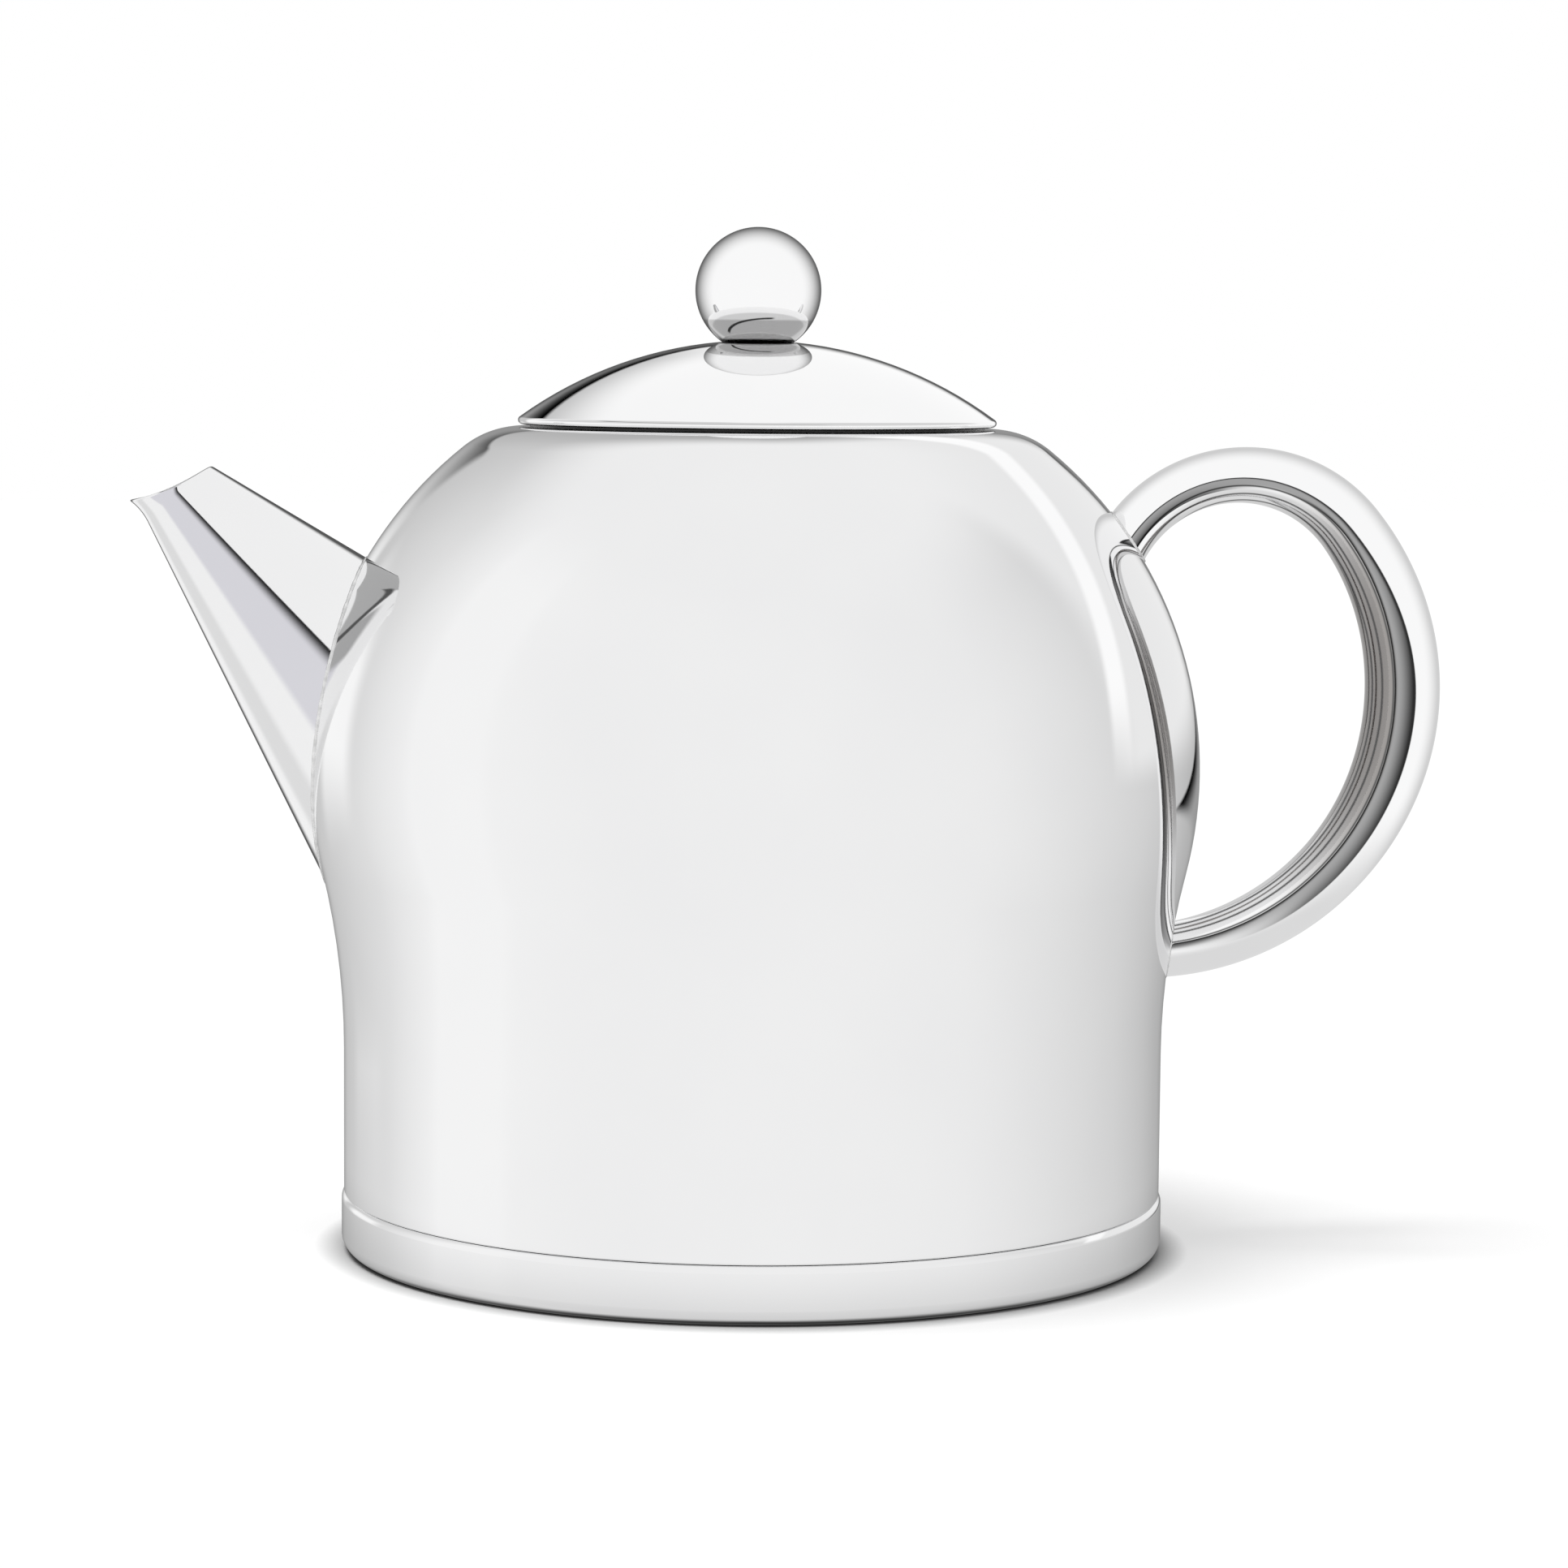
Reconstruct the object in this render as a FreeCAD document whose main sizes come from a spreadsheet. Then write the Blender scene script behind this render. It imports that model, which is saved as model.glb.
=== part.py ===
"""Double-walled steel teapot with a lift-off lid and a lift-out tea basket.

The origin is the centre of the foot, on the vessel's axis. +Z is up, +X points to the
handle and -X to the spout. Lengths are millimetres and angles are degrees.
"""

import FreeCAD
import Part
import Sketcher
import math
import os

# Driving sizes: name, value, what it measures
SIZES = (
    ("sheet", 0.6, "thickness of the pot's pressed sheet"),
    ("wall_radius", 80.0, "outside radius of the straight lower wall"),
    ("waist_round", 148.0, "radius of the hollow curve above the lower wall"),
    ("belly_swell", 6.7, "belly beyond the lower wall"),
    ("belly_height", 94.0, "height of the widest point"),
    ("mouth_radius", 44.3, "hole in the shoulder"),
    ("shoulder_flat", 1.3, "flat of the shoulder between the hole and its rounding"),
    ("shoulder_round", 18.0, "radius that eases the dome into the shoulder"),
    ("shoulder_height", 160.3, "height of the flat shoulder"),
    ("band_height", 11.6, "height of the foot band"),
    ("band_proud", 0.45, "foot band beyond the lower wall"),
    ("band_round", 1.6, "rounded top edge of the foot band"),
    ("band_crease", 0.4, "tight bend where the foot band meets the wall"),
    ("foot_round", 3.0, "rounded bottom edge of the foot band"),
    ("foot_lip", 6.0, "lip of the foot pan inside the wall"),
    ("foot_recess", 2.0, "rise of the middle of the foot pan"),
    ("foot_ring", 12.0, "from the foot band in to the recess"),
    ("foot_bend", 3.0, "bends at the edge of the recess"),
    ("weld_gap", 0.1, "slip fit between sheets that are welded"),
    ("wall_gap", 9.0, "insulating gap between the two walls"),
    ("vessel_floor", 16.0, "height of the vessel's floor"),
    ("vessel_corner", 1.2, "rounded edge of the vessel's floor, inside"),
    ("vessel_rim", 1.6, "rim of the vessel's floor pan above its floor"),
    ("vessel_seam", 22.0, "seam between the vessel's wall and its dome below the widest point"),
    ("ledge_width", 3.3, "ledge inside the mouth that the basket hangs on"),
    ("ledge_round", 1.6, "rounded inner edge of the ledge"),
    ("ledge_lap", 1.2, "vessel's flange under the shoulder"),
    ("neck_depth", 12.0, "depth of the vessel's neck"),
    ("neck_round", 5.0, "bend between the vessel's dome and its neck"),
    ("spout_reach", 51.1, "point of the spout's cone beyond the lower wall"),
    ("spout_rise", 6.4, "point of the spout's cone above the shoulder"),
    ("spout_slope", 47.0, "fall of the spout's axis towards the body, in degrees"),
    ("spout_taper", 16.6, "half angle of the spout's cone, in degrees"),
    ("spout_sheet", 0.8, "thickness of the spout's wall"),
    ("spout_mouth", 28.2, "along the axis from the cone's point to the back of the mouth"),
    ("spout_scoop", 38.0, "radius of the scooped mouth"),
    ("lip_turn", 1.22, "drip lip outwards from the plain cone"),
    ("lip_reach", 5.8, "drip lip beyond the back of the mouth, along the axis"),
    ("lip_flare", 5.1, "length of the turned-out lip"),
    ("throat_radius", 15.0, "outside radius of the sleeve between the two walls"),
    ("strainer_hole", 1.7, "radius of a strainer hole"),
    ("strainer_pitch", 6.4, "spacing of the strainer holes"),
    ("handle_reach", 46.24, "centre line of the grip beyond the lower wall"),
    ("handle_drop", 8.4, "top of the handle's centre line below the shoulder"),
    ("grip_drop", 50.2, "centre of the grip's arc below the shoulder"),
    ("crown_round", 26.6, "radius of the handle's upper arc"),
    ("crown_sink", 9.9, "handle's top below the top of the grip arc's full circle"),
    ("handle_top", 10.3, "handle's thickness at its upper end"),
    ("handle_crown", 10.8, "handle's thickness at its highest point"),
    ("handle_bend", 12.4, "handle's thickness where it turns down to the grip"),
    ("handle_grip", 14.6, "handle's thickness at the middle of the grip"),
    ("handle_lower", 12.9, "handle's thickness below the grip"),
    ("handle_foot", 10.2, "handle's thickness at its lower end"),
    ("handle_sheet", 1.0, "thickness of the handle's wall"),
    ("lid_sheet", 0.6, "thickness of the lid's sheet"),
    ("lid_overhang", 2.1, "lid's rim beyond the mouth"),
    ("lid_gap", 0.4, "shadow gap between the lid and the shoulder"),
    ("lid_rise", 16.1, "lid's seat to its crown"),
    ("lid_rim", 0.8, "radius of the lid's rolled rim"),
    ("lid_bearing", 2.0, "lid's hem over the basket's flange"),
    ("skirt_clearance", 0.8, "lid's skirt inside the basket's collar"),
    ("skirt_depth", 10.0, "lid's skirt below the lid's seat"),
    ("skirt_bend", 1.2, "bend at the top of the lid's skirt"),
    ("skirt_lap", 1.2, "skirt's flange over the lid's hem"),
    ("knob_radius", 12.2, "ball of the knob"),
    ("knob_foot", 7.0, "flat under the ball"),
    ("knob_pad", 0.4, "flat on the lid beyond the ball's foot"),
    ("knob_wall", 1.2, "thickness of the ball's wall"),
    ("insert_radius", 4.5, "threaded bush inside the ball"),
    ("insert_height", 8.0, "height of the bush"),
    ("screw_radius", 2.0, "shank of the knob's screw"),
    ("screw_fit", 0.05, "screw in its bush"),
    ("screw_hole", 0.3, "screw in the holes that it passes through"),
    ("screw_spare", 1.0, "top of the bush above the screw's end"),
    ("screw_head", 4.0, "radius of the screw's head"),
    ("head_height", 2.4, "height of the screw's head"),
    ("slot_width", 1.0, "driver slot"),
    ("slot_depth", 1.1, "depth of the driver slot"),
    ("washer_radius", 6.0, "washer under the screw's head"),
    ("washer_height", 0.8, "thickness of the washer"),
    ("mouth_clearance", 0.3, "basket's flange inside the hole in the shoulder"),
    ("neck_clearance", 0.6, "basket inside the vessel's neck"),
    ("collar_depth", 12.0, "height of the basket's collar"),
    ("collar_bend", 2.0, "bend between the collar and its flange"),
    ("basket_sheet", 0.6, "thickness of the perforated sheet"),
    ("basket_height", 87.8, "height of the perforated wall"),
    ("basket_bend", 1.5, "rounded edge of the basket's floor"),
    ("basket_rim", 2.2, "height of the basket's floor pan"),
    ("basket_hole", 1.5, "radius of a basket hole"),
    ("basket_rows", 10, "rows of holes in the basket's wall"),
    ("basket_pairs", 9, "pairs of opposite holes in one row of the basket's wall"),
    ("floor_rings", 4, "rings of holes in the basket's floor"),
    ("floor_pitch", 8.0, "spacing of the rings of holes"),
)

FULL_TURN = 360.0
HALF_TURN = 180.0
QUARTER_TURN = 90.0
EIGHTH_TURN = 45.0
UP = FreeCAD.Vector(0, 0, 1)

# Sides of a chain of lines and arcs, seen along it
LEFT = 1
RIGHT = -1

# Difference below which two coordinates count as the same
FLAT = 1e-9

# Height of a row of staggered holes as a share of their spacing
ROW_SHARE = 0.875

# Holes in each row of the spout's strainer, from the lowest row up
STRAINER_ROWS = (3, 4, 3, 4, 3)

# Holes in the inmost ring of the basket's floor, and how many more each further ring has
RING_HOLES = 6

doc = FreeCAD.newDocument("Teapot")
sheet = doc.addObject("Spreadsheet::Sheet", "Sizes")


# Sizes that carry both a number and the sheet expression behind it

class Size:
    """A size with its number and the sheet expression that gives it."""

    def __init__(self, value, text):
        self.value = value
        self.text = text

    def __float__(self):
        return float(self.value)

    def __add__(self, other):
        other = as_size(other)
        return Size(self.value + other.value, f"({self.text} + {other.text})")

    def __sub__(self, other):
        other = as_size(other)
        return Size(self.value - other.value, f"({self.text} - {other.text})")

    def __mul__(self, other):
        other = as_size(other)
        return Size(self.value * other.value, f"({self.text} * {other.text})")

    def __truediv__(self, other):
        other = as_size(other)
        return Size(self.value / other.value, f"({self.text} / {other.text})")

    def __neg__(self):
        return Size(-self.value, f"(-1 * {self.text})")


def as_size(item):
    """Take a plain number as a size."""
    return item if isinstance(item, Size) else Size(float(item), repr(float(item)))


def square(size):
    """A size times itself."""
    return size * size


def root(size):
    """Square root of a size."""
    return Size(math.sqrt(size.value), f"sqrt({size.text})")


def tangent(angle):
    """Tangent of an angle in degrees."""
    return Size(math.tan(math.radians(angle.value)), f"tan({angle.text} * 1 deg)")


def cosine(angle):
    """Cosine of an angle in degrees."""
    return Size(math.cos(math.radians(angle.value)), f"cos({angle.text} * 1 deg)")


def sine(angle):
    """Sine of an angle in degrees."""
    return Size(math.sin(math.radians(angle.value)), f"sin({angle.text} * 1 deg)")


def read_sizes():
    """Fill the sheet and return its sizes by name."""
    sizes = {}
    for row, (name, value, note) in enumerate(SIZES, start=1):
        sheet.set(f"A{row}", note)
        sheet.set(f"B{row}", str(value))
        sheet.setAlias(f"B{row}", name)
        sizes[name] = Size(value, f"Sizes.{name}")
    doc.recompute()
    return sizes


S = read_sizes()

# Places that several pieces share
belly_radius = S["wall_radius"] + S["belly_swell"]
ledge_height = S["shoulder_height"] - S["sheet"]
neck_radius = S["mouth_radius"] - S["ledge_width"]
neck_foot = S["shoulder_height"] - S["neck_depth"]
vessel_radius = S["wall_radius"] - S["sheet"] * 2 - S["wall_gap"]
vessel_outside = vessel_radius + S["sheet"]
pan_top = S["vessel_floor"] + S["vessel_rim"]
seam_height = S["belly_height"] - S["vessel_seam"]
band_radius = S["wall_radius"] + S["band_proud"]
lid_seat = S["shoulder_height"] + S["lid_gap"]
lid_radius = S["mouth_radius"] + S["lid_overhang"]
lid_crown = lid_seat + S["lid_rise"]
flange_radius = S["mouth_radius"] - S["mouth_clearance"]
collar_sheet = S["sheet"] + S["lid_gap"]
basket_radius = neck_radius - S["neck_clearance"]
collar_foot = lid_seat - S["collar_depth"]
basket_foot = collar_foot - S["basket_height"]
hem_radius = flange_radius - S["lid_bearing"]
skirt_radius = basket_radius - collar_sheet - S["skirt_clearance"]
hole_radius = S["screw_radius"] + S["screw_hole"]
cone_offset = S["wall_radius"] + S["spout_reach"]
cone_height = S["shoulder_height"] + S["spout_rise"]
spout_lip = S["spout_mouth"] - S["lip_reach"]
lip_radius = spout_lip * tangent(S["spout_taper"]) + S["lip_turn"]
throat_bore = S["throat_radius"] - S["sheet"]
throat_run = cone_offset - vessel_radius + S["throat_radius"] * sine(S["spout_slope"])
throat_end = throat_run / cosine(S["spout_slope"]) + S["throat_radius"]


def dome_radius(rim, height, centre, ease):
    """Radius of the arc that leaves a rim upright and runs into a small arc round a centre.

    The small arc's radius is negative where it bends the other way.
    """
    inward = rim - centre[0]
    upward = centre[1] - height
    return (square(upward) + square(inward) - square(ease)) / ((inward - ease) * 2)


# Drawing

class Profile:
    """A chain of lines and arcs in a sketch, whose sizes are bound to the sheet.

    The corners and centres given to line and arc place the first drawing, and the
    bindings then hold it. Lines that start level or upright are kept so.
    """

    ORIGIN = (-1, 1)
    LEVEL_AXIS = -1
    UPRIGHT_AXIS = -2
    CENTRE = 3

    def __init__(self, body, name, role="XZ_Plane"):
        plane = next(item for item in body.Origin.OriginFeatures if item.Role == role)
        self.sketch = body.newObject("Sketcher::SketchObject", name)
        self.sketch.AttachmentSupport = (plane, [""])
        self.sketch.MapMode = "FlatFace"
        self.chain = []

    def rule(self, *terms):
        """Add a constraint and return its number."""
        return self.sketch.addConstraint(Sketcher.Constraint(*terms))

    def start(self, x, y):
        """Set the pen down."""
        self.pen = point(x, y)

    def line(self, x, y, smooth=False):
        """Draw a line from the pen and return its number."""
        end = point(x, y)
        index = self.sketch.addGeometry(Part.LineSegment(self.pen, end), False)
        self._link(Stretch(index, self.pen, end), smooth)
        if math.isclose(self.pen.x, end.x, abs_tol=FLAT):
            self.rule("Vertical", index)
        elif math.isclose(self.pen.y, end.y, abs_tol=FLAT):
            self.rule("Horizontal", index)
        self.pen = end
        return index

    def arc(self, x, y, centre, clockwise=False, smooth=True):
        """Draw an arc from the pen round a centre and return its number."""
        stretch = Stretch(None, self.pen, point(x, y), point(*centre), clockwise)
        stretch.index = self.sketch.addGeometry(stretch.arc(), False)
        self._link(stretch, smooth)
        self.pen = stretch.end
        return stretch.index

    def _link(self, stretch, smooth):
        if self.chain:
            before = self.chain[-1]
            kind = "Tangent" if smooth else "Coincident"
            self.rule(kind, before.index, before.leave, stretch.index, stretch.enter)
        self.chain.append(stretch)

    def close(self):
        """Join the end of the chain to its start."""
        last = self.chain[-1]
        first = self.chain[0]
        self.rule("Coincident", last.index, last.leave, first.index, first.enter)

    def bind(self, size, kind, *where):
        """Add a dimension and tie it to the sheet."""
        size = as_size(size)
        index = self.rule(kind, *where, size.value)
        self.sketch.setExpression(f"Constraints[{index}]", size.text)

    def bind_x(self, size, index, end):
        """Tie how far a point lies to the right of the upright axis."""
        self.bind(size, "DistanceX", *self.ORIGIN, index, end)

    def bind_y(self, size, index, end):
        """Tie how far a point lies above the level axis."""
        self.bind(size, "DistanceY", *self.ORIGIN, index, end)

    def hold(self, axis, index, end):
        """Keep a point on one of the sketch's axes."""
        self.rule("PointOnObject", index, end, axis)

    def circle(self, x, y, radius):
        """Draw a circle apart from the chain, with its radius and centre bound."""
        shape = Part.Circle(point(x, y), UP, float(radius))
        index = self.sketch.addGeometry(shape, False)
        self.bind(radius, "Radius", index)
        sides = ((x, self.bind_x, self.UPRIGHT_AXIS), (y, self.bind_y, self.LEVEL_AXIS))
        for size, bind_one, axis in sides:
            if float(size) == 0:
                self.hold(axis, index, self.CENTRE)
            else:
                bind_one(size, index, self.CENTRE)

    def thicken(self, gauge, side):
        """Close a smooth chain with a second skin, a sheet's thickness to one side of it."""
        skin = list(self.chain)
        offsets = [stretch.shifted(float(gauge), side) for stretch in skin]
        far_end = offsets[-1][1]
        far_cap = self.line(far_end.x, far_end.y)
        smooth = False
        for stretch, (begin, _) in zip(reversed(skin), reversed(offsets)):
            if stretch.centre is None:
                twin = self.line(begin.x, begin.y, smooth)
                self._match("Parallel", twin, stretch)
            else:
                twin = self.arc(begin.x, begin.y, stretch.centre[:2], not stretch.clockwise, smooth)
                self.rule("Coincident", twin, self.CENTRE, stretch.index, self.CENTRE)
            smooth = True
        near_cap = self.line(*skin[0].start[:2])
        self.close()
        self._match("Perpendicular", far_cap, skin[-1])
        self._match("Perpendicular", near_cap, skin[0])
        self.bind(gauge, "Distance", near_cap)

    def _match(self, kind, index, stretch):
        if stretch.slanted():
            self.rule(kind, index, stretch.index)


class Stretch:
    """One line or arc of a chain, in the direction that the chain runs."""

    def __init__(self, index, start, end, centre=None, clockwise=False):
        self.index = index
        self.start = start
        self.end = end
        self.centre = centre
        self.clockwise = clockwise
        self.enter = 2 if clockwise else 1
        self.leave = 1 if clockwise else 2

    def arc(self):
        """The arc itself, which always runs anticlockwise."""
        first, last = (self.end, self.start) if self.clockwise else (self.start, self.end)
        begin = first - self.centre
        finish = last - self.centre
        circle = Part.Circle(self.centre, UP, begin.Length)
        return Part.ArcOfCircle(circle, math.atan2(begin.y, begin.x), math.atan2(finish.y, finish.x))

    def slanted(self):
        """Whether this is a line that is neither level nor upright."""
        run = self.end - self.start
        return self.centre is None and min(abs(run.x), abs(run.y)) > FLAT

    def shifted(self, distance, side):
        """Ends of this stretch when it is moved to its left or right."""
        if self.centre is None:
            along = (self.end - self.start).normalize()
            aside = FreeCAD.Vector(-along.y, along.x, 0) * (distance * side)
            return self.start + aside, self.end + aside
        inward = -side if self.clockwise else side
        radius = (self.start - self.centre).Length
        scale = (radius - distance * inward) / radius
        return tuple(self.centre + (end - self.centre) * scale for end in (self.start, self.end))


def point(x, y):
    """A point of a drawing."""
    return FreeCAD.Vector(float(x), float(y), 0)


def toward(start, end, share):
    """The point some share of the way from one point to another."""
    return tuple(float(a) + (float(b) - float(a)) * share for a, b in zip(start, end))


# Features

def new_body(label):
    """Start a sub-part."""
    body = doc.addObject("PartDesign::Body", label)
    body.Label = label
    return body


def turn(body, profile, kind="Revolution", name="Turned"):
    """Revolve a profile about its sketch's upright axis, to add it or to cut it away."""
    feature = body.newObject(f"PartDesign::{kind}", name)
    feature.Profile = profile.sketch
    feature.ReferenceAxis = (profile.sketch, ["V_Axis"])
    feature.Angle = FULL_TURN
    return feature


def punch(body, profile, depth, name, reverse=False, both_ways=False):
    """Cut a profile straight through to a depth."""
    feature = body.newObject("PartDesign::Pocket", name)
    feature.Profile = profile.sketch
    feature.setExpression("Length", depth.text)
    feature.Reversed = reverse
    feature.SideType = "Symmetric" if both_ways else "One side"
    return feature


def lifted(body, name, height):
    """Start a level drawing at a height."""
    profile = Profile(body, name, "XY_Plane")
    profile.sketch.AttachmentOffset = FreeCAD.Placement(UP * float(height), FreeCAD.Rotation())
    profile.sketch.setExpression(".AttachmentOffset.Base.z", height.text)
    return profile


def ring(body, name, inner, outer, low, high):
    """Draw the section of a plain ring, or of a disc where there is no inner radius."""
    profile = Profile(body, name)
    bore = inner if inner else 0
    profile.start(bore, low)
    floor = profile.line(outer, low)
    side = profile.line(outer, high)
    profile.line(bore, high)
    bore_side = profile.line(bore, low)
    profile.close()
    if inner:
        profile.bind_x(inner, bore_side, 1)
    else:
        profile.hold(profile.UPRIGHT_AXIS, bore_side, 1)
    profile.bind_x(outer, side, 1)
    profile.bind_y(low, floor, 1)
    profile.bind_y(high, side, 2)
    return profile


def angle_ring(body, gauge, rim, bore, top, low, bend, side):
    """Draw a ring with a flange outwards at its top."""
    profile = Profile(body, "RingSection")
    profile.start(rim, top)
    flange = profile.line(bore + bend, top)
    corner = profile.arc(bore, top - bend, (bore + bend, top - bend))
    wall = profile.line(bore, low, smooth=True)
    profile.bind_x(rim, flange, 1)
    profile.bind_y(top, flange, 1)
    profile.bind(bend, "Radius", corner)
    profile.bind_x(bore, wall, 2)
    profile.bind_y(low, wall, 2)
    profile.thicken(gauge, side)
    turn(body, profile)


# Outer wall

def wall_skin(profile, low, inset, inner):
    """Draw the outer wall's skin, or one inset from it, up from a low edge to the mouth."""
    wall = S["wall_radius"] - inset
    waist = S["waist_round"] + inset
    ease = S["shoulder_round"] - inset
    top = S["shoulder_height"] - inset
    ease_centre = (S["mouth_radius"] + S["shoulder_flat"], top - ease)
    dome = dome_radius(belly_radius - inset, S["belly_height"], ease_centre, ease)
    dome_centre = (belly_radius - inset - dome, S["belly_height"])
    waist_out = wall + waist
    drop = root(square(waist + dome) - square(waist_out - dome_centre[0]))
    waist_centre = (waist_out, S["belly_height"] - drop)
    dome_start = toward(dome_centre, waist_centre, float(dome / (dome + waist)))
    dome_end = toward(dome_centre, ease_centre, float(dome / (dome - ease)))
    profile.start(wall, low)
    side = profile.line(wall, waist_centre[1])
    hollow = profile.arc(*dome_start, waist_centre, clockwise=True)
    bulge = profile.arc(*dome_end, dome_centre)
    easing = profile.arc(ease_centre[0], top, ease_centre)
    flat = profile.line(inner, top, smooth=True)
    profile.bind_x(wall, side, 1)
    profile.bind_y(low, side, 1)
    profile.bind(waist, "Radius", hollow)
    profile.bind(dome, "Radius", bulge)
    profile.bind_x(dome_centre[0], bulge, profile.CENTRE)
    profile.bind_y(S["belly_height"], bulge, profile.CENTRE)
    profile.bind(ease, "Radius", easing)
    profile.bind_y(top, flat, 2)
    return flat


def wall_plug(body, name, inset):
    """Draw half the section of all that lies inside the outer wall or a skin inset from it."""
    profile = Profile(body, name)
    flat = wall_skin(profile, S["band_height"], inset, 0)
    profile.hold(profile.UPRIGHT_AXIS, flat, 2)
    profile.line(0, S["band_height"])
    profile.line(S["wall_radius"] - inset, S["band_height"])
    profile.close()
    return profile


def outer_shell():
    """Drawn outer wall, with the hole that feeds the spout."""
    body = new_body("outer_shell")
    profile = Profile(body, "WallSection")
    flat = wall_skin(profile, S["band_height"], as_size(0), S["mouth_radius"])
    profile.bind_x(S["mouth_radius"], flat, 2)
    profile.thicken(S["sheet"], LEFT)
    turn(body, profile)
    cut = throat_section(body, "SpoutHole", None, throat_bore)
    turn(body, cut, "Groove", "SpoutHoleCut")
    return body


# Foot

def bend_rise(first, second, height):
    """Run of two opposite bends that together step a sheet by a height."""
    both = first + second
    return root(square(both) - square(both - height))


def base_cup():
    """Pressed foot pan, with its band, its standing ring and its lip inside the wall."""
    body = new_body("base_cup")
    profile = Profile(body, "PanSection")
    bend = S["foot_bend"]
    rise = S["foot_recess"]
    run = bend_rise(bend, bend, rise)
    ring_start = band_radius - S["foot_ring"]
    disc_edge = ring_start - run
    lip = S["wall_radius"] - S["sheet"] - S["weld_gap"]
    step = band_radius - lip
    band_rise = bend_rise(S["band_round"], S["band_crease"], step)
    band_top = S["band_height"] - band_rise
    bend_middle = (disc_edge + run / 2, rise / 2)
    crease_share = float(S["band_round"] / (S["band_round"] + S["band_crease"]))
    round_centre = (band_radius - S["band_round"], band_top)
    crease_centre = (lip + S["band_crease"], S["band_height"])
    crease_start = toward(round_centre, crease_centre, crease_share)
    profile.start(0, rise)
    disc = profile.line(disc_edge, rise)
    fall = profile.arc(*bend_middle, (disc_edge, rise - bend), clockwise=True)
    level = profile.arc(ring_start, 0, (ring_start, bend))
    standing = profile.line(band_radius - S["foot_round"], 0, smooth=True)
    corner = profile.arc(band_radius, S["foot_round"], (band_radius - S["foot_round"], S["foot_round"]))
    band = profile.line(band_radius, band_top, smooth=True)
    shoulder = profile.arc(*crease_start, round_centre)
    crease = profile.arc(lip, S["band_height"], crease_centre, clockwise=True)
    upstand = profile.line(lip, S["band_height"] + S["foot_lip"], smooth=True)
    profile.hold(profile.UPRIGHT_AXIS, disc, 1)
    profile.bind_y(rise, disc, 1)
    profile.bind(bend, "Radius", fall)
    profile.bind(bend, "Radius", level)
    profile.hold(profile.LEVEL_AXIS, standing, 2)
    profile.bind_x(ring_start, standing, 1)
    profile.bind(S["foot_round"], "Radius", corner)
    profile.bind_x(band_radius, band, 2)
    profile.bind(S["band_round"], "Radius", shoulder)
    profile.bind(S["band_crease"], "Radius", crease)
    profile.bind_y(S["band_height"], upstand, 1)
    profile.bind_x(lip, upstand, 2)
    profile.bind_y(S["band_height"] + S["foot_lip"], upstand, 2)
    profile.thicken(S["sheet"], LEFT)
    turn(body, profile)
    return body


# Inner vessel

def vessel_skin(profile, low, outset):
    """Draw the vessel's wetted skin, or one outset from it, up from a low edge to its neck."""
    wall = vessel_radius + outset
    neck = neck_radius + outset
    ease = S["neck_round"] - outset
    ease_centre = (neck + ease, neck_foot)
    dome = dome_radius(wall, S["belly_height"], ease_centre, -ease)
    dome_centre = (wall - dome, S["belly_height"])
    dome_end = toward(dome_centre, ease_centre, float(dome / (dome + ease)))
    profile.start(wall, low)
    side = profile.line(wall, S["belly_height"])
    bulge = profile.arc(*dome_end, dome_centre)
    easing = profile.arc(neck, neck_foot, ease_centre, clockwise=True)
    profile.bind_x(wall, side, 2)
    profile.bind_y(low, side, 1)
    profile.bind_y(S["belly_height"], side, 2)
    profile.bind(dome, "Radius", bulge)
    profile.bind(ease, "Radius", easing)
    profile.bind_x(neck, easing, 1)
    profile.bind_y(neck_foot, easing, 1)


def vessel_dome():
    """Top of the vessel that holds the tea, with the strainer holes in front of the spout."""
    body = new_body("vessel_dome")
    profile = Profile(body, "DomeSection")
    vessel_skin(profile, seam_height, as_size(0))
    profile.thicken(S["sheet"], RIGHT)
    turn(body, profile)
    holes = Profile(body, "StrainerHoles", "YZ_Plane")
    centre = cone_height - (cone_offset - vessel_radius) * tangent(S["spout_slope"])
    pitch = S["strainer_pitch"]
    row_pitch = pitch * ROW_SHARE
    for row, count in enumerate(STRAINER_ROWS):
        height = centre + row_pitch * (row - (len(STRAINER_ROWS) - 1) / 2)
        for number in range(count):
            across = pitch * (number - (count - 1) / 2)
            holes.circle(across, height, S["strainer_hole"])
    punch(body, holes, S["wall_radius"], "Strainer")
    return body


def vessel_neck():
    """Ring from the vessel's dome to the shoulder, with the ledge that the basket hangs on."""
    body = new_body("vessel_neck")
    rim = S["mouth_radius"] + S["ledge_lap"]
    angle_ring(body, S["sheet"], rim, neck_radius, ledge_height, neck_foot, S["ledge_round"], LEFT)
    return body


def vessel_wall():
    """Rolled tube between the vessel's floor pan and its dome."""
    body = new_body("vessel_wall")
    turn(body, ring(body, "WallSection", vessel_radius, vessel_outside, pan_top, seam_height))
    return body


def shallow_pan(body, radius, low, top, bend, gauge):
    """Turn a pan with a flat floor, a rounded edge and a low rim."""
    profile = Profile(body, "PanSection")
    profile.start(0, low)
    base = profile.line(radius - bend, low)
    corner = profile.arc(radius, low + bend, (radius - bend, low + bend))
    wall = profile.line(radius, top, smooth=True)
    profile.hold(profile.UPRIGHT_AXIS, base, 1)
    profile.bind_y(low, base, 1)
    profile.bind(bend, "Radius", corner)
    profile.bind_x(radius, wall, 2)
    profile.bind_y(top, wall, 2)
    profile.thicken(gauge, LEFT)
    turn(body, profile)


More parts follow.
